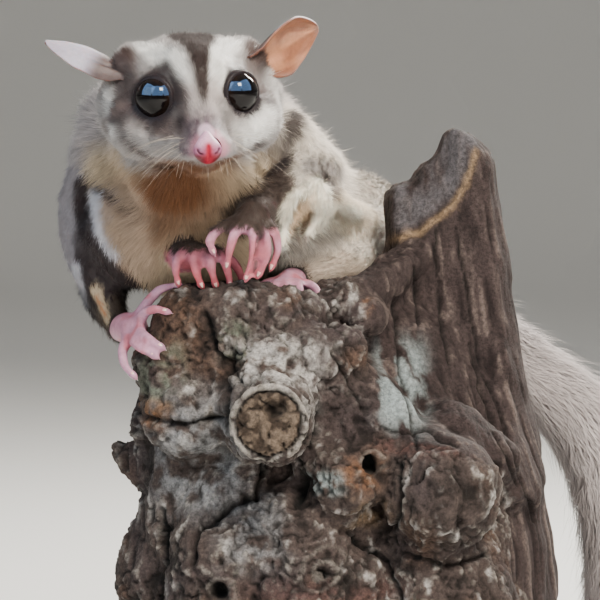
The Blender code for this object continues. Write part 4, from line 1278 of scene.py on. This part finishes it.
def buildEar(name, material):
    spec = ears[name]
    root, tip = np.array(spec["root"]), np.array(spec["tip"])
    along = unit(tip - root)
    across = unit(np.cross(along, spec["opens"]))
    opens = unit(np.cross(across, along))
    bpy.ops.mesh.primitive_grid_add(x_subdivisions=56, y_subdivisions=72, size=2)
    ear = bpy.context.object
    ear.name = "ear_skin_" + name
    grid = pointsOf(ear.data)
    t = grid[:, 0]
    s = (grid[:, 1] + 1) / 2 * (1 - ears["start"]) + ears["start"]
    up = np.clip(s, 0, 1)
    half = ears["width"] / 2 * (0.50 + 0.62 * np.sin(math.pi * np.clip(s * 0.86 + 0.10, 0, 1)))
    half *= np.sqrt(np.maximum(0.004, 1 - up**3.2)) * (1 + (spec["wide"] - 1) * ramp(0, 0.4, s))
    turn = math.radians(ears["curl"]) * (1 - 0.55 * up)
    radius = half / turn
    ridge = bell(t - 0.30 - 0.25 * s, 0.10) * ramp(0.62, 0.1, s)
    sheet = np.stack([t, s, 0 * s], axis=1)
    lean = 0.42 * ridge + 0.34 * bell(t + 0.38, 0.12) * ramp(0.5, 0.05, s)
    lean += 0.10 * waveNoise(sheet * (3, 5, 1), 1, 41, 2)
    lean += 0.22 * np.abs(t) ** 6 * waveNoise(sheet * (1, 6, 1), 1, 42)
    lean -= 0.07 * np.sin(math.pi * up) * spec["long"]
    place = root + along * (spec["long"] * s)[:, None] + across * (radius * np.sin(t * turn))[:, None]
    place = place + opens * (radius - radius * np.cos(t * turn) + lean)[:, None]
    putPoints(ear.data, fromHead(place))
    for key, values in (("t", t), ("s", s)):
        ear.data.attributes.new(key, "FLOAT", "POINT").data.foreach_set("value", values.astype(np.float32))
    thicken = ear.modifiers.new("thickness", "SOLIDIFY")
    thicken.thickness = ears["thickness"] * mm
    thicken.offset = 0
    settle(ear)
    editing(ear, lambda: bpy.ops.mesh.normals_make_consistent(inside=False))
    paint(ear.data, "coat", earColour(ear.data, opens, spec["dark"]))
    ear.data.materials.append(material)
    ear.data.shade_smooth()
    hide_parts("ear_" + name)
    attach(ear, "root")


def earColour(mesh, opens, dark):
    t, s = (readAll(mesh.attributes[key].data, "value", 1)[:, 0] for key in ("t", "s"))
    sheet = np.stack([t, s, 0 * s], axis=1)
    inside = ramp(-0.2, 0.3, dots(normalsOf(mesh) @ headTurn, opens))
    veins = ramp(0.25, 0.05, np.abs(waveNoise(sheet * (5, 4, 1), 1, 43, 2)))
    cup = toned(
        earTones, "inside",
        # painted shade: the cup darkens towards its root, farther up on the right ear
        ("deep", ramp(*dark, s) * 0.9),
        ("ridge", bell(t - 0.30 - 0.25 * s, 0.12) * ramp(0.62, 0.1, s)),
        ("deep", veins * 0.22),
        ("pale", ramp(0.0, 0.6, waveNoise(sheet * (2, 3, 1), 1, 44, 2)) * 0.5),
        ("edge", ramp(0.9, 1.0, np.maximum(np.abs(t), s)) * ramp(0.15, 0.5, s) * 0.8),
    )
    back = toned(earTones, "back", ("base", ramp(0.42, 0.16, s)))
    return blendTo(back, cup, inside)


def earMaterial():
    made, tree, shader = newMaterial(
        "ear_skin", 0.5,
        **{"Subsurface Weight": 0.45, "Subsurface Scale": 1.2 * mm, "Subsurface Radius": (1, 0.4, 0.25)},
    )
    mottled(tree, shader, "coat", noiseNode(tree, 0.8), 0.9, 1.08)
    addBump(tree, shader, noiseNode(tree, 0.4, 4), 0.4, 0.1)
    return made


# The stump: the CAD form, finely meshed and carved. Its lines are x and z, as seen from the front

stump = {"voxel": 0.6, "soften": 7, "triangles": 188000, "trunkMiddle": (-2, -2)}
stub = {"centre": (-18.3, -60.9, 90.2), "radius": 6.9, "depth": 13}
stumpLines = {
    # the border between weathered wood, on the right, and bark and burls, from the top down
    "border": [
        (-1.7, 120), (3.2, 113.5), (1.7, 107), (3.2, 92.4), (7, 86), (17.5, 85), (30, 79.7), (33.4, 71.3),
        (31.3, 58.6), (34.4, 50),
    ],
    "rightEdge": [
        (29.6, 141), (31.2, 134), (34.4, 112), (36.5, 94), (40.5, 80), (45, 69), (47, 59), (47, 47),
    ],
    "lip": [(-1.7, 119.5), (6.6, 125), (13.3, 127.2), (20, 132.4), (23.6, 137.8), (25.4, 144.4)],
}
# Cracks, each with its width and depth
woodCracks = [
    ([(8, 112), (9, 98), (12, 84)], 0.35, 1.0), ([(17, 128), (17.6, 112), (19.5, 100)], 0.3, 0.9),
    ([(24, 104), (28, 88), (34, 74)], 0.35, 1.0), ([(12.5, 120), (13.0, 108)], 0.3, 0.8),
    ([(28, 96), (33, 80), (38, 66)], 0.3, 0.9), ([(21, 128), (24, 112), (26, 100)], 0.3, 0.8),
]
barkCracks = [
    ([(-34.7, 59.7), (-33.1, 66.5), (-26.2, 72.1), (-20.9, 73.7)], 0.7, 2.2),
    ([(-20.4, 84), (-19.6, 78), (-21, 73)], 0.7, 2.4),
    ([(-13, 84), (-11.5, 78), (-12.5, 72)], 0.5, 1.5),
    ([(4.5, 88.6), (9, 87.2), (14, 88), (20, 84.6)], 0.35, 1.0),
    ([(8.6, 81), (8.9, 74), (7.6, 67)], 0.5, 1.6), ([(-9.6, 96), (-8, 90), (-10, 84)], 0.6, 1.8),
    ([(-26, 104), (-27.5, 97), (-27, 90)], 0.7, 2.2),
    ([(-31.5, 112), (-30, 104), (-24, 98)], 0.5, 1.4),
    ([(-46, 91), (-38, 88.5), (-29, 90.5)], 0.6, 1.8),
    ([(-5.5, 104), (-2.5, 98), (0.6, 92)], 0.4, 1.2), ([(-41, 70), (-40, 60), (-41, 50)], 0.6, 1.5),
    ([(10, 62), (18, 59.5), (27, 61)], 0.5, 1.5), ([(-2, 66), (6, 60), (9, 52)], 0.5, 1.4),
]
# Holes and burls: x, z, the hole's radius, its depth, and how far its rings reach
burls = [(-7.1, 58.6, 1.2, 2.6, 8), (-28.8, 54.6, 1.9, 3.0, 6), (2.6, 81.4, 1.3, 3.0, 4)]
# Patches: x, z, their reach across and up, tone, strength, and the size of their mottling
patches = [
    (-17.5, 101.5, 9.5, 4.6, "white", 1.0, 2.0), (-9.6, 95, 2.2, 7, "white", 0.8, 1.6),
    (-41, 99, 5, 7, "green", 0.6, 2.2), (-26, 106, 3.4, 4, "green", 0.7, 1.8),
    (-33, 82, 9.5, 12, "plate", 1.0, 2.6), (-22, 66, 7, 7, "plate", 0.7, 2.4),
    (-7, 77, 4, 2.6, "lichen", 1.0, 1.4), (1.6, 70.4, 5, 3.2, "tan", 0.5, 3.0),
    (0.5, 79, 4.2, 3.2, "orange", 0.45, 1.8), (14, 86, 10, 3.2, "rust", 0.8, 3.0),
    # the dark bark patch at x 20 is painted shade over the right-hand burl
    (20, 72, 11, 9, "darkBarkAndShade", 0.6, 3.2), (-38, 112, 6, 6, "burl", 0.6, 3.0),
    (-42, 91, 4, 3, "orange", 0.6, 2.2), (-4, 52, 16, 5, "rust", 0.5, 3.0),
    (3.2, 112.2, 1.9, 1.9, "orange", 1.0, 1.2), (6, 89.4, 3.2, 1.4, "white", 0.9, 1.4),
    # the dusk patch just below the left foot is painted shadow
    (-12, 111, 9, 5, "dusk", 0.6, 2.4), (37, 60, 1.4, 2.4, "lichen", 0.6, 1.4),
]
woodTones = {
    "wood": seen(74, 61, 60), "woodPale": seen(134, 118, 112), "woodDark": seen(42, 31, 31),
    "bark": seen(92, 79, 75), "barkPale": seen(196, 189, 180), "darkBarkAndShade": seen(34, 27, 25),
    "crackAndShade": seen(20, 15, 14), "plate": seen(176, 177, 180), "white": seen(236, 232, 228),
    "tan": seen(186, 156, 122), "orange": seen(174, 118, 74), "lichen": seen(190, 204, 206),
    "green": seen(142, 158, 138), "burl": seen(124, 94, 76), "blue": seen(118, 116, 122),
    "rust": seen(120, 82, 76), "dusk": seen(84, 72, 74), "endWood": seen(140, 122, 106),
    "endDark": seen(58, 45, 36),
}


def stubForms():
    centre = Vector(stub["centre"]) * mm
    turn = (math.radians(94), 0, 0)
    bpy.ops.mesh.primitive_cylinder_add(
        vertices=48, radius=stub["radius"] * mm, depth=stub["depth"] * mm,
        location=centre + Vector((0, stub["depth"] / 2 * mm, 0)), rotation=turn,
    )
    core = bpy.context.object
    bpy.ops.mesh.primitive_torus_add(
        major_radius=(stub["radius"] + 0.7) * mm, minor_radius=1.0 * mm,
        major_segments=48, minor_segments=12,
        location=centre + Vector((0, 0.9 * mm, 0)), rotation=turn,
    )
    return [core, bpy.context.object]


def buildStump():
    wood = remeshed(joined("stump", [nodeCopy("perch"), *stubForms()]), stump["voxel"], 2)
    mesh = wood.data
    points = spread(pointsOf(mesh), edgesOf(mesh), stump["soften"], 0.1)
    points[:, 2] = np.maximum(points[:, 2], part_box("perch")[0].z)
    putPoints(mesh, points)
    normals = normalsOf(mesh)
    room = clearance(points, [nodes[name].data for name in fleshNodes]) / mm
    rise, colour = carve(points / mm, normals)
    rise = np.minimum(rise * ramp(0, 2.5, room), 0.55 * room)
    putPoints(mesh, points + normals * rise[:, None] * mm)
    paint(mesh, "wood", colour)
    triangles = len(trianglesOf(mesh)[0])
    if triangles > stump["triangles"]:
        thin = wood.modifiers.new("thin", "DECIMATE")
        thin.ratio = stump["triangles"] / triangles
        settle(wood)
    wood.data.materials.clear()
    wood.data.materials.append(stumpMaterial())
    wood.data.shade_smooth()
    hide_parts("perch")
    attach(wood, "root")
    print("stump:", triangles, "triangles before thinning")


def clearance(points, meshes, most=4 * mm):  # the distance to the nearest of the meshes, up to most
    near = np.full(len(points), most)
    for mesh in meshes:
        tree = treeOf(mesh)
        corners = pointsOf(mesh)
        low, high = corners.min(axis=0) - most, corners.max(axis=0) + most
        for index in np.flatnonzero(np.all((points > low) & (points < high), axis=1)):
            near[index] = min(near[index], tree.find_nearest(Vector(points[index]))[3])
    return near


def acrossAt(line, heights):  # the line's x at each height
    line = np.array(sorted(line, key=lambda point: point[1]))
    return np.interp(heights, line[:, 1], line[:, 0])


weathered = 0.58  # the share of light that old, dusty wood keeps of its tones


# How far each point of the wood rises or sinks, in millimetres, and its colour
def carve(world, normals):
    x, y, z = world.T
    flat = world[:, [0, 2]]
    facing = ramp(-0.05, 0.35, -normals[:, 1])
    warp = np.stack([waveNoise(world, 5, seed, 3) for seed in (52, 53, 54)], axis=1)
    smooth = ramp(-1.2, 1.2, x - acrossAt(stumpLines["border"], z) + waveNoise(world, 6, 51, 2) * 1.2)
    smooth = np.maximum(smooth * ramp(26, 20, y), ramp(113, 117, z) * ramp(4, 7, x))
    barked = 1 - smooth
    # weathered wood: fibres and strands that run up and down
    sweep = acrossAt(stumpLines["rightEdge"], z) - 34
    grain = np.stack([x - sweep, y, z * 0.06], axis=1)
    fibre = waveNoise(grain + warp * 0.10, 0.95, 55, 2)
    strand = waveNoise(grain + warp * 0.2, 3.2, 56, 3)
    rise = smooth * (0.22 * fibre + 0.5 * strand)
    # bark: warped ridges of three sizes, fewer on the grey plates, and cracks between big plates
    swayed = world * (1, 1, 0.5) + warp * 1.9
    crags = 1 - 2.4 * np.abs(waveNoise(swayed, 5.4, 57, 2))
    folds = 1 - 2.4 * np.abs(waveNoise(swayed + warp, 2.1, 58, 2))
    grit = waveNoise(world, 0.9, 59, 2)
    plates = ramp(0.1, 0.0, cellCracks(world * (1, 1, 0.75) + warp * 3.4, 10, 60))
    calm = 1 - 0.7 * plateau((x + 32) / 10, (z - 80) / 12) * facing
    plates *= calm
    rise += barked * calm * (0.62 * crags + 0.34 * folds) + barked * (0.13 * grit - 0.7 * plates)
    cracks = np.zeros(len(x))
    wobble = warp[:, [0, 2]] * 0.45
    for line, width, depth in woodCracks + barkCracks:
        cut = bell(lineDistance(flat + wobble, line)[0], width) * facing
        rise -= depth * cut
        cracks = np.maximum(cracks, cut)
    # burls, with rings round their holes
    swirl = np.zeros(len(x))
    holes = np.zeros(len(x))
    for centreX, centreZ, size, depth, reach in burls:
        gone = np.hypot(x - centreX, (z - centreZ) * 1.1) + 0.5 * warp[:, 1]
        close = ramp(reach, reach * 0.4, gone) * facing * (z < 86)
        ringed = np.sin(gone * 2.3 + np.arctan2(z - centreZ, x - centreX) + 2.6 * warp[:, 0])
        hole = ramp(size + 0.7, size - 0.3, gone) * facing
        rise += close * 0.3 * ringed - depth * hole
        swirl = np.maximum(swirl, close * ramp(0.0, 0.9, ringed))
        holes = np.maximum(holes, hole)
    # the stub's end: a ring of bark, torn wood with a hollow, and cracks that run out from its middle
    side, up = x - stub["centre"][0], z - stub["centre"][2]
    away = np.hypot(side, up) + 0.35 * warp[:, 0] + 0.25 * warp[:, 2]
    onEnd = ramp(-56.5, -58.5, y) * ramp(9.8, 8.8, away) * (z > 78)
    inside = onEnd * ramp(6.9, 6.5, away)
    spokes = np.abs(np.sin(np.arctan2(up, side) * 4.5 + 1.6 * np.sin(away * 0.9) + 1.5 * warp[:, 1]))
    spokes = ramp(0.35, 0.0, spokes) * ramp(0.6, 2.4, away) * inside
    torn = waveNoise(np.stack([side + warp[:, 0], up + warp[:, 2], 0 * x], axis=1), 1.3, 61, 3)
    hollow = ramp(1.0, 0.4, np.hypot((side - 1.2) / 3.4, (up - 2.9) / 2.3) + 0.2 * warp[:, 1]) * inside
    moat = bell(away - 6.75, 0.36) * onEnd
    rise = rise * (1 - 0.7 * onEnd) + inside * (0.55 * torn + 0.15 * np.sin(away * 5.2))
    rise -= 0.9 * spokes + 2.2 * hollow + 1.3 * moat
    colour = stumpColour(world, normals, smooth, fibre, strand, crags, folds, grit, warp)
    colour = toned(
        woodTones, colour,
        ("barkPale", swirl * 0.35),
        # near-black in the cracks and the burls' holes: partly dark wood, partly painted shade in these
        # recesses
        ("crackAndShade", plates * barked * 0.75 + cracks * 0.92),
        ("crackAndShade", holes),
    )
    endTone = toned(woodTones, "endWood", ("endDark", ramp(0.1, -0.6, torn) * 0.9))
    colour = toned(
        woodTones, blendTo(colour, endTone, inside),
        ("barkPale", onEnd * ramp(7.0, 7.3, away) * ramp(-0.5, 0.4, folds) * 0.8),
        # near-black in the stub's cracks, groove and hollow: partly dark wood, partly painted shade
        ("crackAndShade", spokes * 0.85 + moat * 0.85 + hollow * 0.7),
    )
    # the sawn underside shows its yearly rings
    under = ramp(-0.8, -0.95, normals[:, 2]) * (z < 48.5)
    middleX, middleY = stump["trunkMiddle"]
    radius = np.hypot(x - middleX, y - middleY) + 1.2 * waveNoise(world, 16, 65)
    rings = toned(woodTones, "tan", ("burl", ramp(0.2, 0.9, np.sin(radius * 3.1))))
    return rise * (1 - under), np.clip(blendTo(colour, rings, under) * weathered, 0.004, 1)


def stumpColour(world, normals, smooth, fibre, strand, crags, folds, grit, warp):
    x, _, z = world.T
    facing = ramp(-0.05, 0.35, -normals[:, 1])
    height = 0.55 * crags + 0.45 * folds
    colour = toned(
        woodTones, "bark",
        ("burl", ramp(0.0, 0.7, waveNoise(world, 13, 66, 2)) * 0.6),
        ("dusk", ramp(0.1, 0.8, waveNoise(world, 11, 67, 2)) * 0.6),
    )
    for centreX, centreZ, wide, tall, name, strength, size in patches:
        place = plateau((x - centreX) / wide, (z - centreZ) / tall) * facing
        broken = ramp(-0.55, 0.25, waveNoise(world + warp * 0.4, size, 68, 3))
        colour = toned(woodTones, colour, (name, place * broken * strength))
    streaks = waveNoise(world * (1, 1, 0.3) + warp * 0.8, 1.5, 69, 3)
    colour = toned(
        woodTones, colour,
        ("barkPale", ramp(0.45, 1.0, height) * ramp(-0.3, 0.6, grit) * 0.8),
        ("white", ramp(0.25, 0.9, streaks) * ramp(0.0, 0.7, height) * 0.65),
        # partly darker bark in the furrows, partly painted shade in the low places of the relief
        ("darkBarkAndShade", ramp(0.1, -0.9, height) * 0.9),
    )
    lichen = plateau((x - 9) / 5.5, (z - 96) / 8.5) * facing
    lichen *= ramp(-0.25, 0.1, waveNoise(world * (1, 1, 0.5), 3.2, 63, 3))
    lip = np.array(stumpLines["lip"])
    above = z - np.interp(x, lip[:, 0], lip[:, 1])
    scar = (z > 118) * facing * ramp(0.5, 3, above) * (x < 26)
    lipAway = lineDistance(world[:, [0, 2]] + warp[:, [0, 2]] * 0.3, lip)[0]
    grained = toned(
        woodTones, "wood",
        ("woodPale", ramp(0.15, 1.0, fibre * 0.7 + strand * 0.6)),
        ("woodDark", ramp(0.05, -0.8, fibre * 0.7 + strand * 0.6)),
        ("lichen", lichen * 0.85),
        ("blue", scar * ramp(-0.6, 0.4, strand) * 0.7),
        ("tan", bell(lipAway, 0.6) * facing * 0.8),
    )
    return blendTo(colour, grained, smooth)


def stumpMaterial():
    made, tree, shader = newMaterial("weathered_wood", 0.82, **{"Specular IOR Level": 0.3})
    mottled(tree, shader, "wood", noiseNode(tree, 0.8, 8, 0.76), 0.2, 1.5)
    addBump(tree, shader, noiseNode(tree, 0.9, 8, 0.72), 1.0, 0.6)
    return made


# The stand keeps its CAD solids, with better finishes


def dressStand():
    lacquer, tree, shader = newMaterial("stand_lacquer", 0.3, **{"Coat Weight": 0.4, "Coat Roughness": 0.2})
    varied(tree, shader, noiseNode(tree, 6.0, 6, 0.6, (1, 0.08, 1)), seen(30, 27, 26), seen(52, 47, 44))
    addBump(tree, shader, noiseNode(tree, 3.0, 6, 0.6, (1, 0.06, 1)), 0.12, 0.12)
    steel, tree, shader = newMaterial("stand_steel", 0.28, **{"Metallic": 1.0})
    brushed = noiseNode(tree, 1.2, 4, 0.6, (1, 1, 0.04))
    varied(tree, shader, brushed, seen(178, 179, 182), seen(206, 207, 210))
    addBump(tree, shader, noiseNode(tree, 0.5, 3, 0.6, (1, 1, 0.03)), 0.15, 0.05)
    for node, material in (("stand_base", lacquer), ("stand_rod_left", steel), ("stand_rod_right", steel)):
        for slot in nodes[node].material_slots:
            slot.material = material


# Floor, backdrop and lights

studio = {"radius": 3.4, "height": 2.6, "curve": 1.2, "tone": (0.74, 0.735, 0.72)}
worldLight = {"tint": (0.86, 0.88, 0.90), "strength": 0.42}
# Wide soft lamps stand for the sky, and the key, rim and fill lamps are warmer. The fill lamp shows in
# nothing glossy. The panels light the wet eyes alone
panel = {"size": (1.5, 1.3), "power": 74, "tint": (0.26, 0.52, 1.0)}
lamps = {
    "key": {"place": (0.32, -0.78, 0.95), "size": (0.30, 0.30), "power": 24.0, "tint": (1.0, 0.91, 0.78)},
    "rim": {"place": (0.40, 0.60, 0.66), "size": (0.30, 0.30), "power": 18.0, "tint": (1.0, 0.96, 0.88)},
    "fill": {"place": (0.42, -1.0, 0.24), "size": (0.5, 0.4), "power": 6.0, "tint": (1.0, 0.95, 0.88)},
    "sky": {"place": (-0.80, -0.70, 0.75), "size": (1.0, 0.8), "power": 6.0, "tint": (0.70, 0.86, 1.0)},
    "panelLeft": {"place": (-0.98, -0.57, 0.97), **panel},
    "panelFront": {"place": (0.0, -1.13, 0.97), **panel},
    "panelRight": {"place": (0.98, -0.57, 0.97), **panel},
}
lampAim = (-0.015, -0.01, 0.12)


def makeStudio(eyeBalls):  # a round dish whose floor curves up into its wall
    bpy.ops.object.select_all(action="DESELECT")
    bpy.ops.mesh.primitive_cylinder_add(
        vertices=128, radius=studio["radius"], depth=studio["height"], location=(0, 0, studio["height"] / 2)
    )
    floor = settlePlace(bpy.context.object)
    floor.name = "studio_floor"
    shape = bmesh.new()
    shape.from_mesh(floor.data)
    for edge in shape.edges:
        edge.select_set(all(vert.co.z < 0.001 for vert in edge.verts))
    shape.to_mesh(floor.data)
    shape.free()
    bpy.ops.object.mode_set(mode="EDIT")
    bpy.ops.mesh.select_mode(type="EDGE")
    bpy.ops.mesh.bevel(offset=studio["curve"], segments=14)
    bpy.ops.mesh.select_all(action="SELECT")
    bpy.ops.mesh.flip_normals()
    bpy.ops.object.mode_set(mode="OBJECT")
    shape = bmesh.new()
    shape.from_mesh(floor.data)
    roof = [face for face in shape.faces if face.calc_center_median().z > studio["height"] - 0.01]
    bmesh.ops.delete(shape, geom=roof, context="FACES")
    shape.to_mesh(floor.data)
    shape.free()
    made, _, shader = newMaterial("studio_floor", 0.85)
    shader.inputs["Base Color"].default_value = (*studio["tone"], 1)
    floor.data.materials.append(made)
    floor.data.shade_smooth()
    wet = bpy.data.collections.new("wet")
    for ball in eyeBalls:
        wet.objects.link(ball)
    world = bpy.data.worlds.new("studio")
    bpy.context.scene.world = world
    world.use_nodes = True
    background = world.node_tree.nodes["Background"]
    background.inputs["Color"].default_value = (*worldLight["tint"], 1)
    background.inputs["Strength"].default_value = worldLight["strength"]
    for name, spec in lamps.items():
        lamp = bpy.data.lights.new(name, "AREA")
        lamp.shape = "RECTANGLE"
        lamp.size, lamp.size_y = spec["size"]
        lamp.energy = spec["power"]
        lamp.color = spec["tint"]
        holder = bpy.data.objects.new(name, lamp)
        bpy.context.scene.collection.objects.link(holder)
        holder.location = spec["place"]
        if name.startswith("panel"):
            holder.visible_diffuse = False
            holder.light_linking.receiver_collection = wet
        holder.visible_camera = False
        holder.visible_glossy = name != "fill"
        aim = Vector(lampAim) - Vector(spec["place"])
        holder.rotation_euler = aim.to_track_quat("-Z", "Y").to_euler()


makeCamera()
skin, fields = buildSkin()
dressSkin(skin, fields)
print("skin dressed")
buildCoat(skin, fields, furMaterial())
eyeBalls = buildEyes()
buildNose()
buildWhiskers()
buildClaws()
earSkin = earMaterial()
for earName in sideOf:
    buildEar(earName, earSkin)
print("head and paws finished")
buildStump()
dressStand()
makeStudio(eyeBalls)
